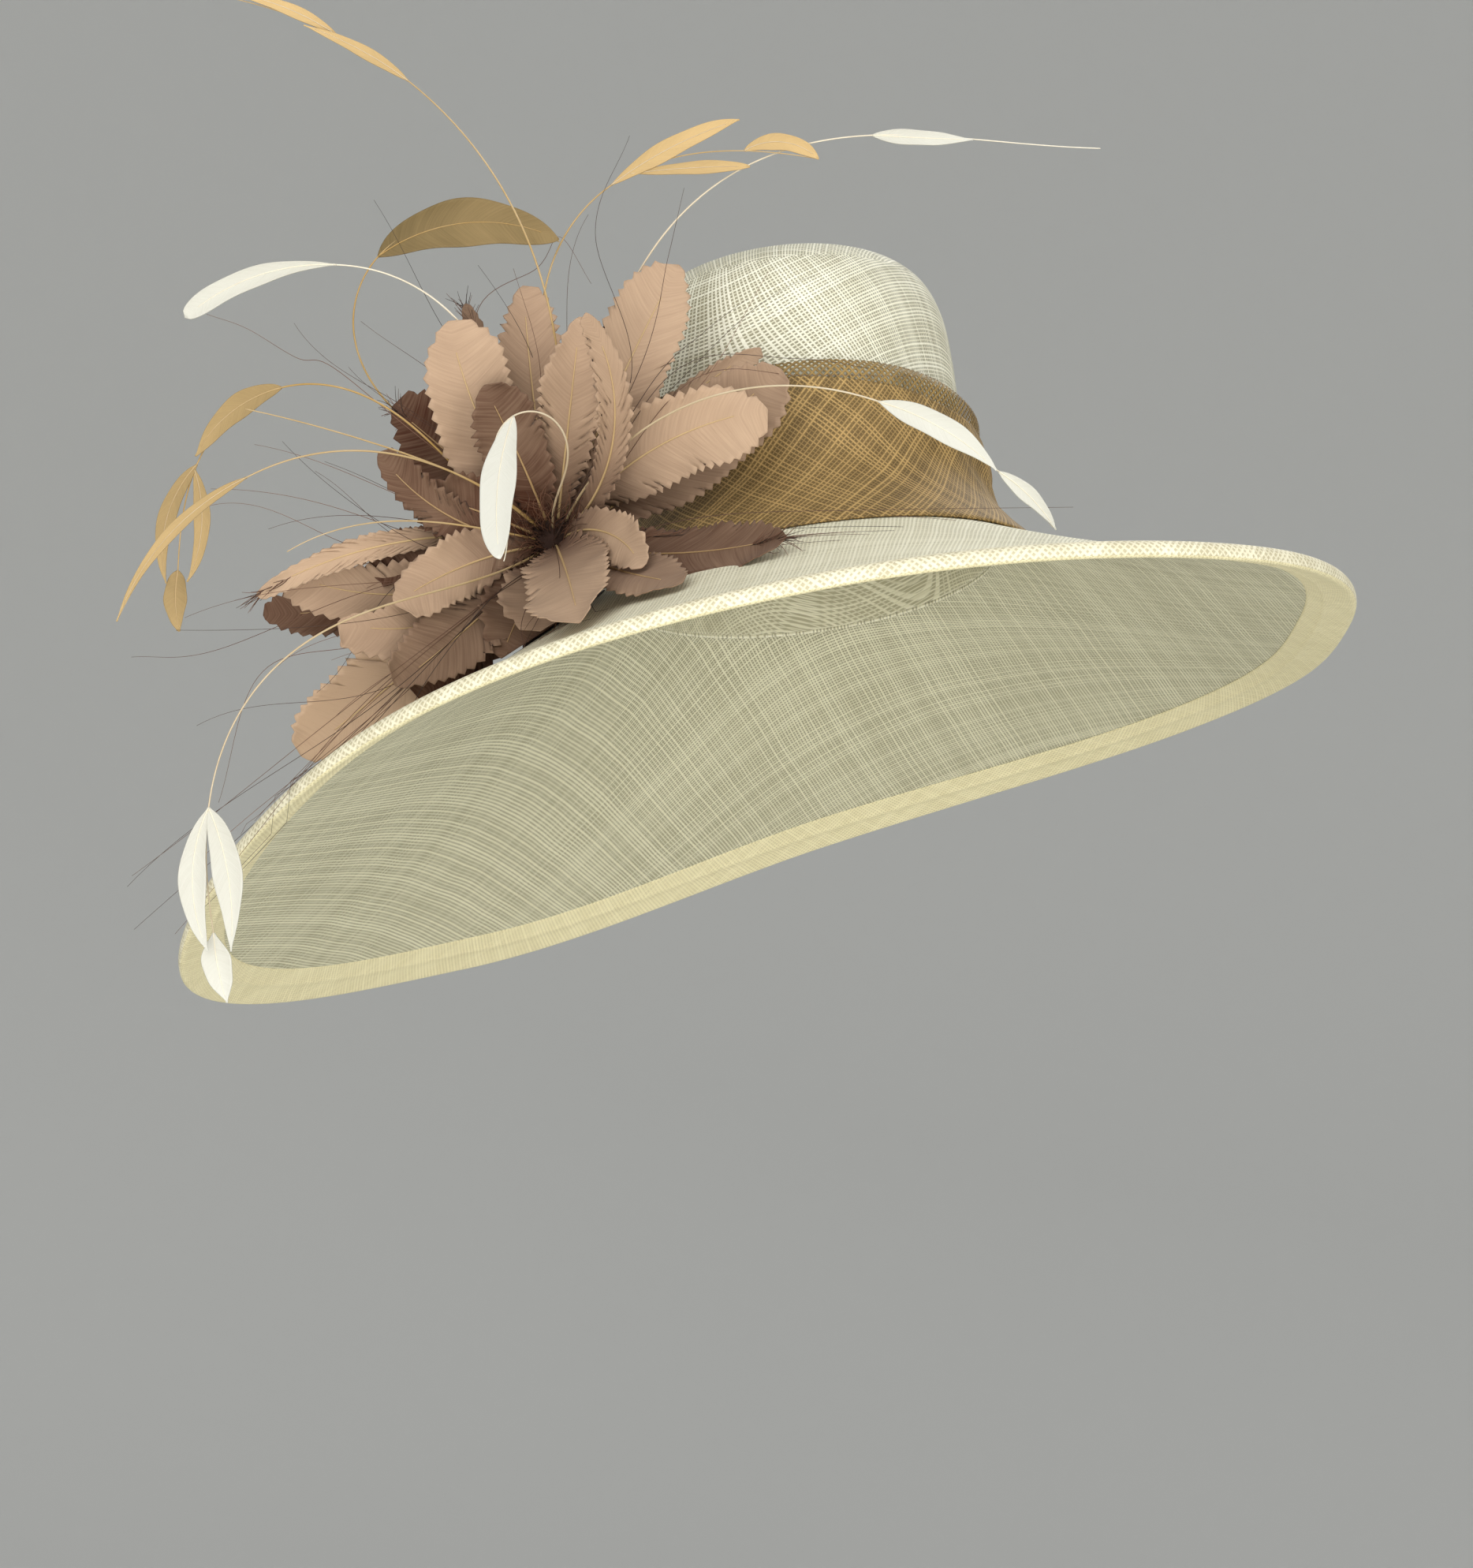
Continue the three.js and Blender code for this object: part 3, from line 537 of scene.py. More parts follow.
def vane(path, length, width, root, belly, fullness, rng, teeth=0.0, skew=0.0, ripple=0.0):
    """A feather's vane. Each row of the grid is a barb on each side of the shaft, which leaves it and
    slants to the tip. The outline is the half-width at the barb's end, each side falling to the tip
    in its own way by the skew, with a slow wave of a twentieth, cut in by triangular teeth along its
    normal. The barb's height over the shaft's plane is a cup that grows with the square of its reach,
    and waves that grow likewise."""
    end, tooth = barb_rows(length, rng)
    steep = 1 + BARB_SLANT
    root_share = (steep - np.sqrt(steep**2 - 4 * BARB_SLANT * end)) / (2 * BARB_SLANT)
    run = np.gradient(end * length)
    t = np.linspace(0, 1, 9)[None]
    x_root = (root_share * length)[:, None]
    halves = []
    for side in (-1, 1):
        fall = fullness * (1 - belly) * (1 + side * skew)
        reach = half_width(np.clip(end, 1e-4, 1 - 1e-4), width, root, fullness * belly, fall)
        reach = reach * (1 + 0.05 * np.sin(14 * end + 3 * side + length))
        reach[-1] = 0.3
        climb = np.gradient(reach)
        norm = np.hypot(run, climb) + 1e-6
        full = np.maximum(reach[:, None], 1.0)
        cut_in = teeth * np.roll(tooth, side) * np.clip(reach / 5 - 0.4, 0, 1)
        x_end = end * length + cut_in * climb / norm
        y_end = np.maximum(reach - cut_in * run / norm, 0.25)
        x = x_root + (x_end[:, None] - x_root) * t**1.25
        y = y_end[:, None] * t
        share = np.clip(x / length, 0, 1)
        fold = (y / full) ** 2
        phase = rng.uniform(0, 2 * np.pi, 3)
        wave = np.sin(x / length * 7 + phase[0]) + 0.5 * np.sin(x / length * 15 + phase[1])
        wave = wave + 0.25 * np.sin(x / length * 34 + phase[2])
        height = PETAL_CUP * 2 * full * fold + ripple * wave * fold * np.clip(full / 8, 0, 1)
        points = at(path, "points", share) + side * y[..., None] * at(path, "across", share)
        points = points + height[..., None] * at(path, "towards", share)
        uv = np.stack([np.broadcast_to(x_root, x.shape), side * y], -1) * MM
        halves.append((points, uv, share))
    low, high = halves
    points, uv, share = (np.concatenate([a[:, ::-1], b[:, 1:]], 1) for a, b in zip(low, high))
    return {"points": points, "uv": uv, "share": share}


def add(tree, kind, inputs=(), out=0, **settings):
    """Adds a shader node and returns one of its outputs. Settings are its properties, and inputs are
    values or outputs of other nodes for its sockets, in their order or by name."""
    node = tree.nodes.new("ShaderNode" + kind)
    for key, value in settings.items():
        setattr(node, key, value)
    for key, value in inputs.items() if isinstance(inputs, dict) else enumerate(inputs):
        if isinstance(value, bpy.types.NodeSocket):
            tree.links.new(value, node.inputs[key])
        else:
            node.inputs[key].default_value = value
    return node.outputs[out]


def new_material(name, roughness, **sockets):
    """A material with a Principled shader, its uniform values set on the shader's own sockets."""
    material = bpy.data.materials.new(name)
    material.use_nodes = True
    tree = material.node_tree
    shader = tree.nodes["Principled BSDF"]
    shader.inputs["Roughness"].default_value = roughness
    for key, value in sockets.items():
        shader.inputs[key.replace("_", " ")].default_value = value
    return material, tree, shader


def threads(tree, place, axis, pitch, thick, vary):
    """One set of parallel threads: each lies in a cell of the pitch across the axis, is as thick as
    its own random number says, and thins and thickens along its length. Returns its cover, a random
    number for each thread, and the place across in threads."""
    coordinate = add(tree, "SeparateXYZ", [place], axis)
    cross = add(tree, "Math", [coordinate, pitch], operation="DIVIDE")
    cell = add(tree, "Math", [cross], operation="FLOOR")
    own = add(tree, "TexWhiteNoise", {"W": cell}, noise_dimensions="1D")
    inside = add(tree, "Math", [cross], operation="FRACT")
    centred = add(tree, "Math", [inside, 0.5], operation="SUBTRACT")
    offset = add(tree, "Math", [centred], operation="ABSOLUTE")
    along = (0.06, 1.0, 1.0) if axis == 1 else (1.0, 0.06, 1.0)
    drawn = add(tree, "VectorMath", [place, along], operation="MULTIPLY")
    slub = add(tree, "TexNoise", {"Vector": drawn, "Scale": 1 / pitch, "Detail": 1.0})
    own_half = add(tree, "Math", [own, vary, thick / 2 - vary / 2], operation="MULTIPLY_ADD")
    slubbed = add(tree, "Math", [slub, vary, -vary / 2], operation="MULTIPLY_ADD")
    half = add(tree, "Math", [own_half, slubbed], operation="ADD")
    depth = add(tree, "Math", [half, offset], operation="SUBTRACT")
    cover = add(tree, "Math", [depth, 7.0], operation="MULTIPLY", use_clamp=True)
    return cover, own, cross


def weave(tree, pitch, turn, thick, vary, wobble):
    """Plain weave in the fabric's own plane: two sets of threads that cross, with a wobble in metres
    that bends them a little. Returns the cover, a height for bump and a random tint: where the
    product of the two sines over the threads is positive, the warp is on top."""
    uv = add(tree, "UVMap", uv_map="fabric")
    noise = add(tree, "TexNoise", {"Vector": uv, "Scale": 24.0, "Detail": 1.0}, "Color")
    drift = add(tree, "VectorMath", [noise, (0.5, 0.5, 0.5)], operation="SUBTRACT")
    bent = add(tree, "VectorMath", [drift, (wobble, wobble, 0.0), uv], operation="MULTIPLY_ADD")
    angle = {"Vector": bent, "Angle": np.radians(turn)}
    place = add(tree, "VectorRotate", angle, rotation_type="Z_AXIS")
    warp, warp_tint, warp_run = threads(tree, place, 0, pitch, thick, vary)
    weft, weft_tint, weft_run = threads(tree, place, 1, pitch, thick, vary)
    cover = add(tree, "Math", [warp, weft], operation="MAXIMUM")
    turns = [add(tree, "Math", [run, np.pi], operation="MULTIPLY") for run in (warp_run, weft_run)]
    sines = [add(tree, "Math", [turned], operation="SINE") for turned in turns]
    parity = add(tree, "Math", sines, operation="MULTIPLY")
    over = add(tree, "Math", [parity, 0.4, 0.6], operation="MULTIPLY_ADD")
    under = add(tree, "Math", [parity, -0.4, 0.6], operation="MULTIPLY_ADD")
    warp_height = add(tree, "Math", [warp, over], operation="MULTIPLY")
    weft_height = add(tree, "Math", [weft, under], operation="MULTIPLY")
    height = add(tree, "Math", [warp_height, weft_height], operation="MAXIMUM")
    on_top = add(tree, "Math", [warp_height, weft_height], operation="GREATER_THAN")
    tint = add(tree, "Mix", {0: on_top, 2: weft_tint, 3: warp_tint}, data_type="FLOAT")
    return cover, height, tint


def straw_material(name, pitch):
    """Sinamay, plain-woven from split banana-plant fibre and stiffened: satin threads that vary in
    width and colour, with open gaps between them. Its pitch is drawn up to twice as coarse as that of
    real straw, whose threads are too fine to show."""
    gap_colour, thread, spacing, turn, thick, gap, vary, tints, clouds = STRAWS[name]
    material, tree, shader = new_material(name, 0.6, IOR=1.5, Specular_IOR_Level=0.3)
    cover, height, tint = weave(tree, pitch * spacing, turn, thick, vary, 0.0022)
    uv = add(tree, "UVMap", uv_map="fabric")
    cloud = add(tree, "TexNoise", {"Vector": uv, "Scale": 26.0, "Detail": 3.0})
    drift = add(tree, "Math", [cloud, clouds, 0.82 - clouds / 2 - tints / 2], operation="MULTIPLY_ADD")
    shade = add(tree, "Math", [tint, tints, drift], operation="MULTIPLY_ADD")
    depth = add(tree, "Math", [cover, 0.62, 0.38], operation="MULTIPLY_ADD")
    lit = add(tree, "Math", [shade, depth], operation="MULTIPLY")
    colours = {0: lit, 6: linear(gap_colour), 7: linear(thread)}
    colour = add(tree, "Mix", colours, 2, data_type="RGBA")
    tree.links.new(colour, shader.inputs["Base Color"])
    alpha = add(tree, "Math", [cover, 1 - gap], operation="MAXIMUM", use_clamp=True)
    tree.links.new(alpha, shader.inputs["Alpha"])
    bump = add(tree, "Bump", {"Strength": 0.5, "Distance": 0.0004, "Height": height})
    tree.links.new(bump, shader.inputs["Normal"])
    return material


def feather_material(name, dark, light, roughness, streak=0.14, stain=0.3):
    """Dyed goose feather: matte barbs side by side that slant from the shaft, a tone from the mesh that
    darkens to the root, on the petals as painted shade round their crowded roots, and soft stains where the
    dye took unevenly. The barbs are drawn twice as coarse as real ones, which are too fine to show."""
    matte = {"IOR": 1.54, "Specular_IOR_Level": 0.3, "Sheen_Weight": 0.04}
    material, tree, shader = new_material(name, roughness, **matte)
    uv = add(tree, "UVMap", uv_map="fabric")
    drawn = add(tree, "VectorMath", [uv, (1.0, 0.05, 1.0)], operation="MULTIPLY")
    barbs = add(tree, "TexNoise", {"Vector": drawn, "Scale": 1 / (BARB_PITCH * MM), "Detail": 2.0})
    tone = add(tree, "Attribute", out="Fac", attribute_name="tone")
    cloud = add(tree, "TexNoise", {"Vector": uv, "Scale": 42.0, "Detail": 3.0})
    base = add(tree, "Math", [cloud, stain, -stain / 2], operation="MULTIPLY_ADD")
    streaks = add(tree, "Math", [barbs, streak, -streak / 2], operation="MULTIPLY_ADD")
    marks = add(tree, "Math", [base, streaks], operation="ADD")
    shade = add(tree, "Math", [marks, tone], operation="ADD", use_clamp=True)
    colours = {0: shade, 6: linear(dark), 7: linear(light)}
    colour = add(tree, "Mix", colours, 2, data_type="RGBA")
    tree.links.new(colour, shader.inputs["Base Color"])
    bump = add(tree, "Bump", {"Strength": 0.4, "Distance": 0.0004, "Height": barbs})
    tree.links.new(bump, shader.inputs["Normal"])
    return material


def shaft_material(name, dark, light, roughness):
    """Feather shaft, a smooth horny tube with a satin shine, its colour drifting along it."""
    material, tree, shader = new_material(name, roughness, IOR=1.54)
    uv = add(tree, "UVMap", uv_map="fabric")
    drift = add(tree, "TexNoise", {"Vector": uv, "Scale": 60.0, "Detail": 2.0})
    tone = add(tree, "Attribute", out="Fac", attribute_name="tone")
    marks = add(tree, "Math", [drift, 0.3, -0.15], operation="MULTIPLY_ADD")
    shade = add(tree, "Math", [marks, tone], operation="ADD", use_clamp=True)
    colours = {0: shade, 6: linear(dark), 7: linear(light)}
    colour = add(tree, "Mix", colours, 2, data_type="RGBA")
    tree.links.new(colour, shader.inputs["Base Color"])
    return material


class HatSizes(bpy.types.PropertyGroup):
    """Sizes of the finish that a user would change"""

    straw_pitch: bpy.props.FloatProperty(
        name="Straw pitch",
        description="Spacing of the threads of the ivory straw",
        default=1.5 * MM,
        min=0.4 * MM,
        max=4 * MM,
        precision=5,
        unit="LENGTH",
    )
    sash_pitch: bpy.props.FloatProperty(
        name="Sash pitch",
        description="Spacing of the threads of the brown sash",
        default=1.7 * MM,
        min=0.4 * MM,
        max=4 * MM,
        precision=5,
        unit="LENGTH",
    )
    tooth_depth: bpy.props.FloatProperty(
        name="Tooth depth",
        description="How deep the petals' edges are pinked",
        default=2.0 * MM,
        min=0,
        max=5 * MM,
        precision=5,
        unit="LENGTH",
    )
    filament: bpy.props.FloatProperty(
        name="Filament",
        description="Thickness of a hair-fine filament",
        default=0.42 * MM,
        min=0.1 * MM,
        max=1 * MM,
        precision=5,
        unit="LENGTH",
    )


class HatColours(bpy.types.PropertyGroup):
    """Colours that a user would change"""

    floor: bpy.props.FloatVectorProperty(
        name="Floor",
        description="Colour of the pale floor",
        default=linear("#cfcfcc"),
        size=4,
        min=0,
        max=1,
        subtype="COLOR",
    )


class HatPiece:
    """What the operators that make pieces share"""

    bl_options = {"REGISTER", "UNDO"}

    def execute(self, context):
        self.make(context)
        return {"FINISHED"}


class HAT_OT_crown(HatPiece, bpy.types.Operator):
    """Make the blocked straw crown"""

    bl_idname = "hat.crown"
    bl_label = "Crown"

    def make(self, context):
        around, rows = 176, 96
        angle = np.arange(around) * 2 * np.pi / around
        profile = spline(CROWN_PROFILE, rows)
        radius = profile[:, :1] * HALF_WIDTH
        height = profile[:, 1:] * CROWN_HEIGHT + SEAM_GAP
        x = radius * np.cos(angle) + CROWN_LEAN * height / CROWN_HEIGHT
        y = radius * np.sin(angle) * HALF_LENGTH / HALF_WIDTH
        level = np.stack([x, y, np.broadcast_to(height, x.shape)], -1)
        ends = np.append(angle, 2 * np.pi)
        run = along_rows(level[::-1])[::-1]
        run = np.hstack([run, run[:, :1]])
        cap = np.stack([run * np.cos(ends), run * np.sin(ends)], -1) * MM
        shoulder = int(np.argmax(profile[:, 0] < 0.78))
        arc = around_ring(level[rows // 3])
        swing = 2 * ends - np.radians(140)
        slant_u = arc - 0.5 * (run - run[shoulder]) * np.sin(swing)
        slant_v = run - 0.25 * HALF_WIDTH * np.cos(swing)
        wall = np.stack([slant_u, slant_v], -1) * MM
        pitch = context.scene.hat_sizes.straw_pitch
        outer = straw_material("blocked_sinamay_crown", pitch)
        # Painted shade: the wall's inner face takes a darker copy of the crown's straw.
        inner = straw_material("blocked_sinamay_crown_inside_painted_shade", pitch)
        shape = worn(level)
        grids = [
            {"points": shape[: shoulder + 1], "uv": wall[: shoulder + 1], "closed": True},
            {"points": shape[shoulder:], "uv": cap[shoulder:], "closed": True},
        ]
        crown = make_piece("straw_crown", grids, [outer, inner], ["crown"])
        merge_doubles(crown)
        give_wall(crown, STRAW_WALL, inner_material=1)


class HAT_OT_brim(HatPiece, bpy.types.Operator):
    """Make the wide straw brim"""

    bl_idname = "hat.brim"
    bl_label = "Brim"

    def make(self, context):
        around, rows = 240, 56
        angle = np.arange(around) * 2 * np.pi / around
        share = np.linspace(0, 1, rows)[:, None]
        level = brim_point(np.broadcast_to(angle, (rows, around)), share)
        seat = brim_point(angle, brim_share(angle, -1.0))[None]
        level = np.concatenate([seat, level])
        uv = level[..., :2] * MM
        uv = np.concatenate([uv, uv[:, :1]], 1)
        pitch = context.scene.hat_sizes.straw_pitch
        top = straw_material("blocked_sinamay_brim", pitch)
        # Painted shade: the underside's straw is a darker copy of the top's.
        under = straw_material("blocked_sinamay_underbrim_painted_shade", pitch)
        grid = {"points": worn(level), "uv": uv, "closed": True, "flip": True}
        brim = make_piece("straw_brim", [grid], [top, under], ["brim"])
        give_wall(brim, STRAW_WALL, inner_material=1)


class HAT_OT_binding(HatPiece, bpy.types.Operator):
    """Make the bias binding that is folded over the rim"""

    bl_idname = "hat.binding"
    bl_label = "Binding"

    def make(self, context):
        around, rows = 360, 96
        angle = np.arange(around) * 2 * np.pi / around
        section = closed_spline(BINDING_SECTION, rows)
        section = np.vstack([section, section[:1]])
        depth, lift = section[:, :1], section[:, 1:]
        level = brim_point(np.broadcast_to(angle, (rows + 1, around)), 1 - brim_share(angle, depth))
        level[..., 2] += lift
        run = around_ring(level[0])[None] * MM
        across = np.broadcast_to(along_rows(level)[:, :1] * MM, (rows + 1, around + 1))
        uv = np.stack([np.broadcast_to(run, across.shape), across], -1)
        pitch = context.scene.hat_sizes.straw_pitch
        strip = straw_material("bias_sinamay_binding", pitch)
        hem = straw_material("doubled_sinamay_hem", pitch)
        fold = rows * 8 // len(BINDING_SECTION)
        shape = worn(level)
        grids = [
            {"points": shape[: fold + 1], "uv": uv[: fold + 1], "closed": True},
            {"points": shape[fold:], "uv": uv[fold:], "closed": True, "material": 1},
        ]
        binding = make_piece("straw_binding", grids, [strip, hem], ["brim_binding"])
        merge_doubles(binding)


class HAT_OT_sash(HatPiece, bpy.types.Operator):
    """Make the see-through bias sash round the crown"""

    bl_idname = "hat.sash"
    bl_label = "Sash"

    def make(self, context):
        pitch = context.scene.hat_sizes.sash_pitch
        front = straw_material("bias_sinamay_sash", pitch)
        back = straw_material("bias_sinamay_band", pitch)
        band = self.layer("bias_band", 1.0, 0.0, [back])
        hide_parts("band")
        give_wall(band, SASH_WALL)
        drape = self.layer("bias_drape", 0.885, 0.9, [front])
        give_wall(drape, SASH_WALL)

    def layer(self, name, top, lift, materials):
        """One layer of the sash, from a share of its height down to its flare on the brim, lifted off
        the layer below: it follows the crown's oval, stands off it by the sash's profile and swings in
        and out in soft folds, sines of the angle that slant with the height."""
        around, rows = 256, 64
        angle = np.broadcast_to(np.arange(around) * 2 * np.pi / around, (rows, around))
        profile = spline(BAND_PROFILE, 400)[::-1]
        edge = top - (1 - top) * np.maximum(np.cos(angle), 0)
        share = np.linspace(1, 0, rows)[:, None] * edge
        stand = np.interp(share, profile[:, 0], profile[:, 1])
        dip = 1 - BAND_TOP_DIP * np.cos(angle) * np.maximum(np.cos(angle), 0)
        height = share * BAND_HEIGHT * dip
        crown = spline(CROWN_PROFILE, 400)
        width = np.interp(height / CROWN_HEIGHT, crown[:, 1], crown[:, 0])
        fold = BAND_FOLD * share * np.sin(BAND_FOLDS * angle + 3 * share)
        pleat = lift * np.sin(13 * angle + 11 * share) * np.sin(np.pi * share) ** 2
        stand = SEAM_GAP + BAND_FOLD + stand * BAND_FLARE + fold * (1 - share) + lift + 0.6 * pleat
        radius = oval_radius(angle) * width + stand
        floor = brim_point(angle, brim_share(angle, radius - oval_radius(angle)))[..., 2]
        z = np.maximum(height, 0) + floor * (1 - share) ** 4 + 2 * SEAM_GAP + 0.5 * lift * (1 - share)
        x = radius * np.cos(angle) + CROWN_LEAN * height / CROWN_HEIGHT
        level = np.stack([x, radius * np.sin(angle), z], -1)
        run = around_ring(level[rows // 2])[None] * MM
        down = along_rows(level)
        down = np.hstack([down, down[:, :1]]) * MM
        uv = np.stack([np.broadcast_to(run, down.shape), down], -1)
        grid = {"points": worn(level), "uv": uv, "closed": True, "flip": True}
        return make_piece(name, [grid], materials)


class HAT_OT_knob(HatPiece, bpy.types.Operator):
    """Make the bound knob that the feathers are tied to"""

    bl_idname = "hat.knob"
    bl_label = "Flower knob"

    def make(self, context):
        around, rows = 48, 40
        angle = np.arange(around) * 2 * np.pi / around
        centre = flower_centre()
        latitude = np.radians(np.linspace(-48, 90, 18))
        knob = np.stack([KNOB_RADIUS * np.cos(latitude), KNOB_RADIUS * np.sin(latitude)], -1)
        foot = (BACKING_RADIUS, -FLOWER_RISE)
        flare = (NECK_RADIUS * 1.2, -FLOWER_RISE * 0.8)
        neck = (NECK_RADIUS, -FLOWER_RISE / 2)
        stem = spline([foot, flare, neck, knob[0]], rows)[:-1]
        profile = np.vstack([[(0, -FLOWER_RISE)], stem, knob])
        stem_share = (profile[:, 1:] + FLOWER_RISE) / 4
        ridges = 1 + 0.06 * np.sin(15 * angle + profile[:, 1:] / 5) * np.clip(stem_share, 0, 1)
        x = profile[:, :1] * ridges * np.cos(angle) + centre[0]
        y = profile[:, :1] * ridges * np.sin(angle) + centre[1]
        here = np.arctan2(y, x)
        out = np.hypot(x, y) - oval_radius(here)
        seat = brim_point(here, brim_share(here, out))[..., 2] + SEAM_GAP
        z = np.maximum(profile[:, 1:] + centre[2], seat)
        z[:2] = seat[:2]
        level = np.stack([x, y, z], -1)
        run = along_rows(level)[:, :1] * MM
        uv = np.stack(np.broadcast_arrays(run, np.linspace(0, 0.07, around + 1)[None]), -1)
        material = feather_material("bound_feather_ends", "#1d120d", "#4a3024", 0.9, 0.4)
        grid = {"points": worn(level), "uv": uv, "closed": True, "attributes": {"tone": 0.4}}
        knob = make_piece("flower_knob", [grid], [material], ["flower_head"])
        merge_doubles(knob)


class HAT_OT_petals(HatPiece, bpy.types.Operator):
    """Make the pinked feather petals"""

    bl_idname = "hat.petals"
    bl_label = "Petals"

    def make(self, context):
        centre = worn(flower_centre())
        skin = feather_material("dyed_goose_feather", "#451f07", "#c5a78a", 0.8, 0.34, 0.36)
        shaft = shaft_material("dyed_feather_shaft", "#8a6238", "#d8bb88", 0.45)
        teeth = context.scene.hat_sizes.tooth_depth / MM
        for seed, row in enumerate(rows_of(PETAL_COLUMNS, PETALS)):
            rng = np.random.default_rng(100 + seed)
            length = row["length"] * PETAL_LENGTH
            width = row["width"] * PETAL_WIDTH
            path = feather_path(row, length)
            shape = (PETAL_ROOT, PETAL_BELLY, PETAL_FULLNESS)
            leaf = vane(path, length, width, *shape, rng, teeth, rng.uniform(-0.5, 0.5), 2.2)
            leaf["points"] = leaf["points"] + centre
            # Painted shade: the petal's tone falls to a tenth at its root, where the petals crowd round the
            # knob.
            leaf["attributes"] = {"tone": row["tone"] * (0.1 + 0.9 * np.clip(leaf["share"] * 1.7, 0, 1))}
            loose = row["name"] in LOOSE_PETALS
            if loose:
                leaf["points"] = over_brim(leaf["points"], 1.5)
            nodes = [] if loose else ["petal_" + row["name"]]
            petal = make_piece("feather_" + row["name"], [leaf], [skin], nodes)
            give_wall(petal, FEATHER_WALL, 0.0)
            s = np.linspace(0, 0.86, 56)
            towards = at(path, "towards", s)
            middle = at(path, "points", s) + centre + 0.3 * towards
            if loose:
                middle = over_brim(middle, 1.8)
            rib = tube(middle, at(path, "across", s), towards, 0.5 * (1 - s) + 0.1, 6)
            # The rib's tone follows the petal's, painted shade included.
            rib["attributes"] = {"tone": 0.3 + 0.6 * row["tone"]}
            make_piece("midrib_" + row["name"], [rib], [shaft])


class HAT_OT_quills(HatPiece, bpy.types.Operator):
    """Make the stripped quills and their trimmed blades"""

    bl_idname = "hat.quills"
    bl_label = "Quills"

    def make(self, context):
        centre = worn(flower_centre())
        white = feather_material("bleached_feather", "#a49e88", "#d6d4c8", 0.7, 0.3, 0.2)
        tan = feather_material("dyed_tan_feather", "#5c4c28", "#d2b27c", 0.7, 0.2)
        shaft = shaft_material("stripped_quill", "#ac863c", "#f6f0dc", 0.35)
        blades = rows_of(BLADE_COLUMNS, BLADES)
        for seed, row in enumerate(rows_of(QUILL_COLUMNS, QUILLS)):
            rng = np.random.default_rng(300 + seed)
            name = row["name"]
            pale = name.startswith("white")
            path = feather_path(row, row["length"] * QUILL_LENGTH)
            s = np.linspace(0, 1, 110)
            radius = QUILL_ROOT_RADIUS + (QUILL_TIP_RADIUS - QUILL_ROOT_RADIUS) * s
            middle = at(path, "points", s) + centre
            stem = tube(middle, at(path, "across", s), at(path, "towards", s), radius, 8)
            stem["attributes"] = {"tone": row["tone"] * (0.35 + 0.65 * np.linspace(0, 1, 112))[:, None]}
            leaves, ribs = [], []
            for blade in blades:
                if blade["quill"] != name:
                    continue
                begin = at(path, "points", blade["start"])
                turn = np.degrees(at(path, "heading", blade["start"])) + blade["swing"]
                rise = np.degrees(at(path, "slope", blade["start"]))
                bend = {"turn": turn, "lean": blade["lean"], "rise": rise, "curl": 0}
                span = blade["length"] * BLADE_LENGTH
                side = feather_path(bend, span, begin)
                shape = (blade["width"] * BLADE_WIDTH, BLADE_ROOT, blade["belly"], blade["fullness"])
                leaf = vane(side, span, *shape, rng, 0.0, rng.uniform(-0.3, 0.3), 0.3)
                leaf["points"] = leaf["points"] + centre
                leaf["attributes"] = {"tone": blade["tone"] + 0.15 * leaf["share"]}
                leaves.append(leaf)
                s = np.linspace(0, 0.9, 40)
                towards = at(side, "towards", s)
                line = at(side, "points", s) + centre + 0.25 * towards
                rib = tube(line, at(side, "across", s), towards, 0.24 - 0.14 * s, 6)
                rib["attributes"] = {"tone": 0.85 if pale else 0.5 * blade["tone"]}
                ribs.append(rib)
            make_piece("quill_stem_" + name, [stem, *ribs], [shaft], ["quill_" + name])
            if leaves:
                piece = make_piece("blades_" + name, leaves, [white if pale else tan])
                give_wall(piece, FEATHER_WALL, 0.0)


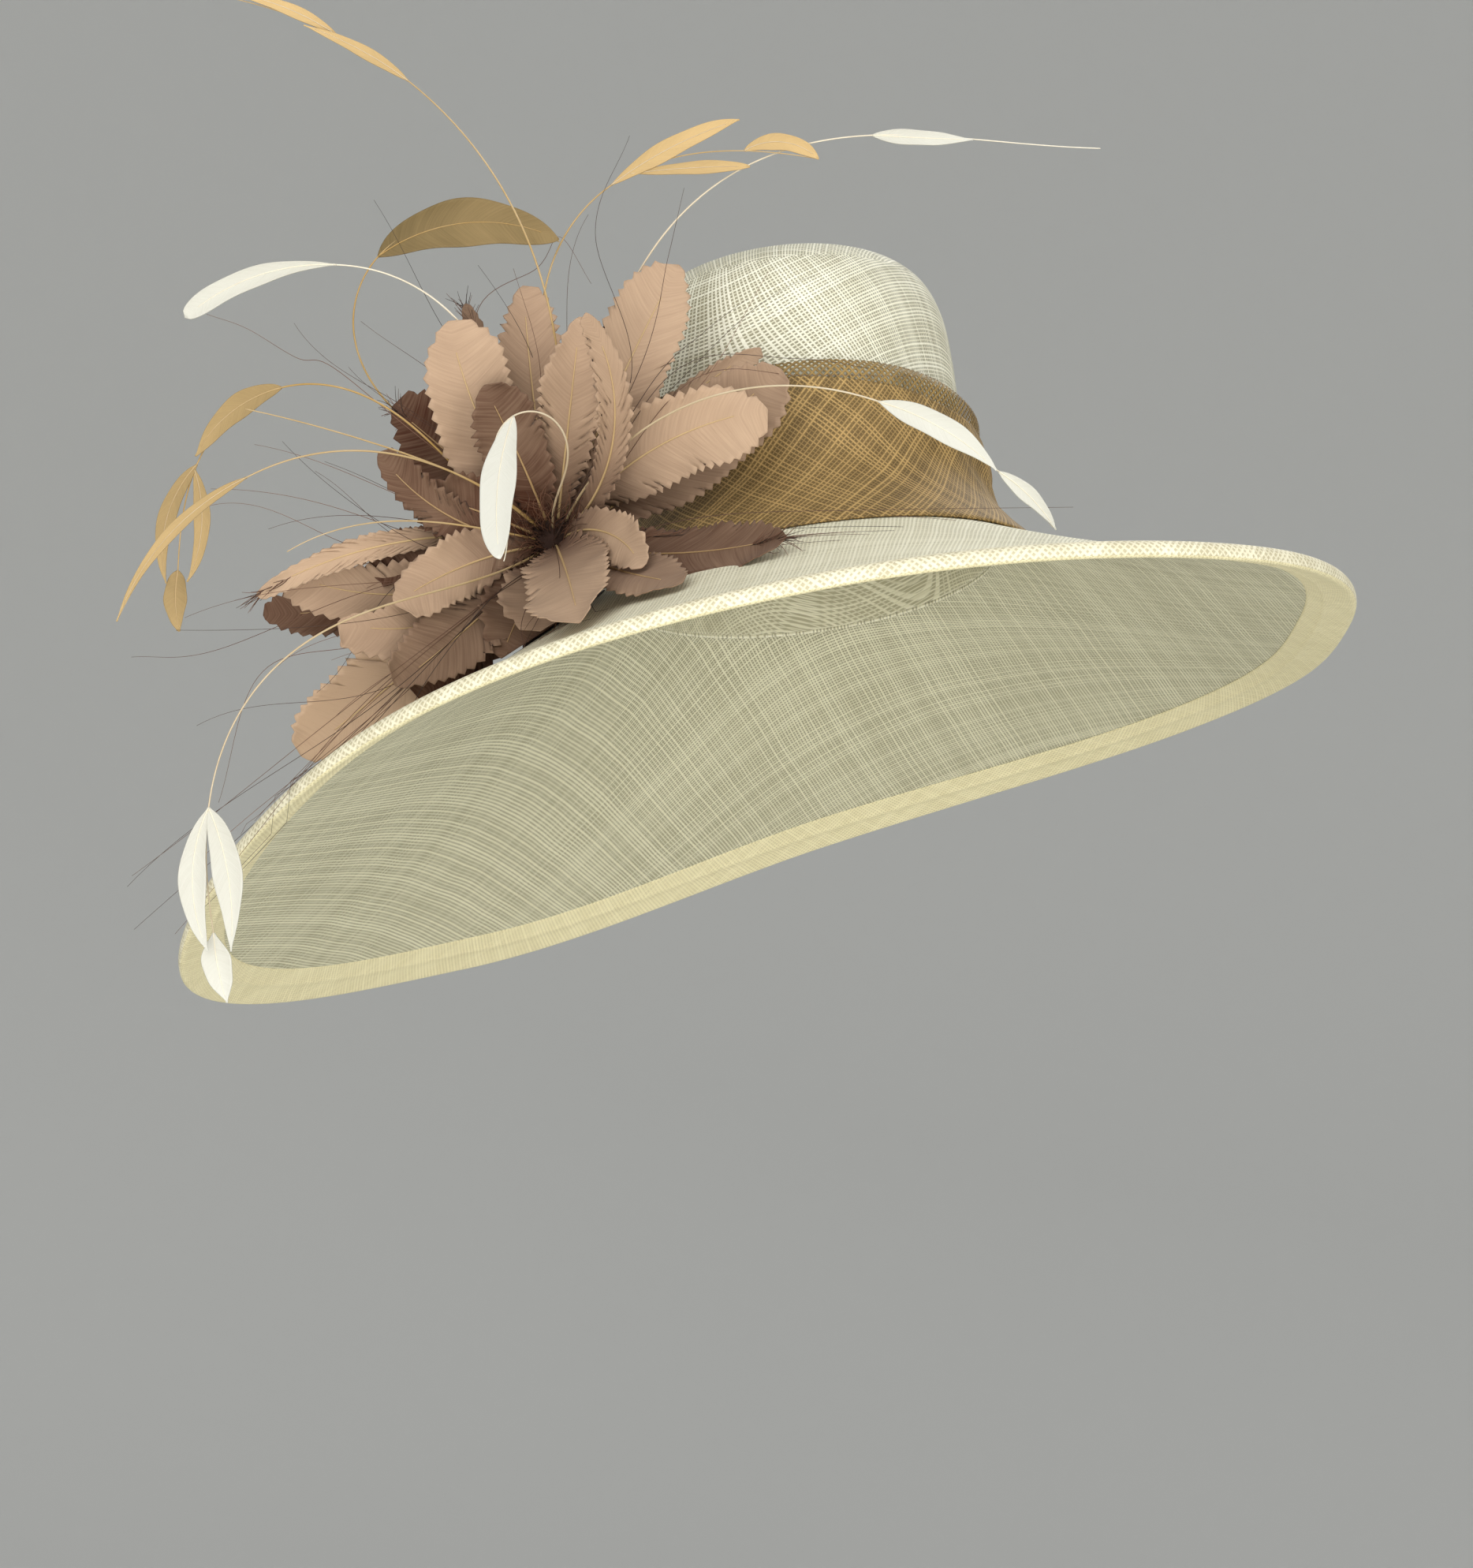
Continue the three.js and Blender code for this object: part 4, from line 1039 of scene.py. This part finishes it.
class HAT_OT_filaments(HatPiece, bpy.types.Operator):
    """Make the dark hair-fine filaments round the flower"""

    bl_idname = "hat.filaments"
    bl_label = "Filaments"

    def make(self, context):
        rng = np.random.default_rng(7)
        centre = worn(flower_centre())
        thick = context.scene.hat_sizes.filament / MM
        hair = shaft_material("burnt_feather_filament", "#24130a", "#8a6048", 0.55)
        lines = []
        for bunch in rows_of(BUNCH_COLUMNS, BUNCHES):
            for _ in range(bunch["count"]):
                row = {
                    "turn": bunch["turn"] + bunch["spread"] * rng.uniform(-1, 1),
                    "lean": bunch["bend"] * rng.normal(0, 0.6),
                    "sway": bunch["wave"] * rng.normal(0, 0.7),
                    "arch": bunch["wave"] * rng.normal(0, 1.0),
                    "rise": bunch["rise"] + 8 * rng.normal(),
                    "curl": bunch["curl"] + 8 * rng.normal(),
                }
                length = rng.uniform(bunch["shortest"], bunch["longest"])
                lines.append(feather_path(row, length, steps=48)["points"])
        for route in ROUTES:
            x, z, front = spline(route, 49).T
            lines.append(np.stack([x, -front, z], -1))
        petals = {row["name"]: row for row in rows_of(PETAL_COLUMNS, PETALS)}
        for tuft in rows_of(TUFT_COLUMNS, TUFTS):
            petal = petals[tuft["petal"]]
            path = feather_path(petal, petal["length"] * PETAL_LENGTH)
            for _ in range(tuft["count"]):
                foot = rng.uniform(tuft["start"], 0.99)
                turn = np.degrees(at(path, "heading", foot)) + tuft["spread"] * rng.uniform(-1, 1)
                rise = np.degrees(at(path, "slope", foot)) + 12 * rng.normal()
                row = {"turn": turn, "lean": 24 * rng.normal(), "rise": rise, "curl": 10 * rng.normal()}
                length = tuft["length"] * rng.uniform(0.5, 1.2)
                lines.append(feather_path(row, length, at(path, "points", foot), 48)["points"])
        s = np.linspace(0, 1, 49)
        grids = []
        for points in lines:
            along = np.gradient(points, axis=0)
            along /= np.linalg.norm(along, axis=1)[:, None]
            across = np.cross(along, (0.0, 1.0, 0.0))
            across /= np.linalg.norm(across, axis=1)[:, None] + 1e-6
            path = over_brim(points + centre, 0.6)
            strand = tube(path, across, np.cross(along, across), 0.5 * thick * (1 - 0.6 * s), 3)
            strand["attributes"] = {"tone": rng.uniform(0, 0.9)}
            grids.append(strand)
        make_piece("filaments", grids, [hair])


class HAT_OT_stage(HatPiece, bpy.types.Operator):
    """Make the floor, the lights and the camera"""

    bl_idname = "hat.stage"
    bl_label = "Stage"

    def make(self, context):
        scene = context.scene
        floor_z, reach, sweep, wall = -950.0, 2400.0, 1300.0, 2600.0
        turn = np.radians(np.linspace(-90, 0, 24))
        bend = np.stack([reach + sweep * np.cos(turn), floor_z + sweep * (1 + np.sin(turn))], -1)
        profile = np.vstack([[(1.0, floor_z)], bend, [(reach + sweep, wall)]])
        around = np.arange(96) * 2 * np.pi / 96
        x = profile[:, :1] * np.cos(around)
        y = profile[:, :1] * np.sin(around)
        points = np.stack([x, y, np.broadcast_to(profile[:, 1:], x.shape)], -1)
        material, tree, shader = new_material("matte_paper_sweep", 0.9)
        shader.inputs["Base Color"].default_value = scene.hat_colours.floor
        flat = np.zeros((*x.shape, 2))
        flat = np.concatenate([flat, flat[:, :1]], 1)
        floor = make_mesh("floor", [{"points": points, "uv": flat, "closed": True}], [material])
        world = bpy.data.worlds.new("studio")
        world.use_nodes = True
        world.node_tree.nodes["Background"].inputs["Color"].default_value = linear("#eceef0")
        world.node_tree.nodes["Background"].inputs["Strength"].default_value = 0.6
        scene.view_settings.view_transform = "Standard"
        scene.world = world
        lamps = [
            ("key", (-0.7, -1.9, 1.0), 1.9, 26),
            ("fill", (1.5, -1.6, 0.3), 1.4, 20),
            ("low", (-0.3, -1.5, -0.75), 1.2, 17),
            ("back", (0.7, 1.6, 1.3), 1.2, 12),
        ]
        for name, place, size, watts in lamps:
            light = bpy.data.lights.new(name, "AREA")
            light.size = size
            light.energy = watts
            lamp = bpy.data.objects.new(name, light)
            lamp.location = place
            lamp.visible_camera = False
            lamp.rotation_euler = (-Vector(place)).to_track_quat("-Z", "Y").to_euler()
            scene.collection.objects.link(lamp)
        camera_data = bpy.data.cameras.new("camera")
        camera_data.sensor_width = 36
        camera_data.lens = 84.2
        camera = bpy.data.objects.new("camera", camera_data)
        camera.location = Vector((-28.05, -1497.5, -85.2)) * MM
        camera.rotation_euler = (np.pi / 2, 0, 0)
        scene.collection.objects.link(camera)
        scene.camera = camera


PIECES = (
    HAT_OT_crown,
    HAT_OT_brim,
    HAT_OT_binding,
    HAT_OT_sash,
    HAT_OT_knob,
    HAT_OT_petals,
    HAT_OT_quills,
    HAT_OT_filaments,
    HAT_OT_stage,
)


class HAT_PT_panel(bpy.types.Panel):
    """Lists the hat's sizes, colours and pieces"""

    bl_idname = "HAT_PT_panel"
    bl_label = "Church hat"
    bl_space_type = "VIEW_3D"
    bl_region_type = "UI"
    bl_category = "Church hat"

    def draw(self, context):
        for group in (context.scene.hat_sizes, context.scene.hat_colours):
            for key in group.bl_rna.properties.keys():
                if key not in ("rna_type", "name"):
                    self.layout.prop(group, key)
        for piece in PIECES:
            self.layout.operator(piece.bl_idname)


CLASSES = (HatSizes, HatColours, *PIECES, HAT_PT_panel)


def register():
    """Registers the classes and hangs the two property groups on the scene."""
    for cls in CLASSES:
        bpy.utils.register_class(cls)
    bpy.types.Scene.hat_sizes = bpy.props.PointerProperty(type=HatSizes)
    bpy.types.Scene.hat_colours = bpy.props.PointerProperty(type=HatColours)


def unregister():
    """Takes them off again."""
    del bpy.types.Scene.hat_colours
    del bpy.types.Scene.hat_sizes
    for cls in reversed(CLASSES):
        bpy.utils.unregister_class(cls)


def main():
    """Makes the stage and every piece in order."""
    register()
    bpy.ops.hat.stage()
    bpy.ops.hat.crown()
    bpy.ops.hat.brim()
    bpy.ops.hat.binding()
    bpy.ops.hat.sash()
    bpy.ops.hat.knob()
    bpy.ops.hat.petals()
    bpy.ops.hat.quills()
    bpy.ops.hat.filaments()


if __name__ == "__main__":
    main()
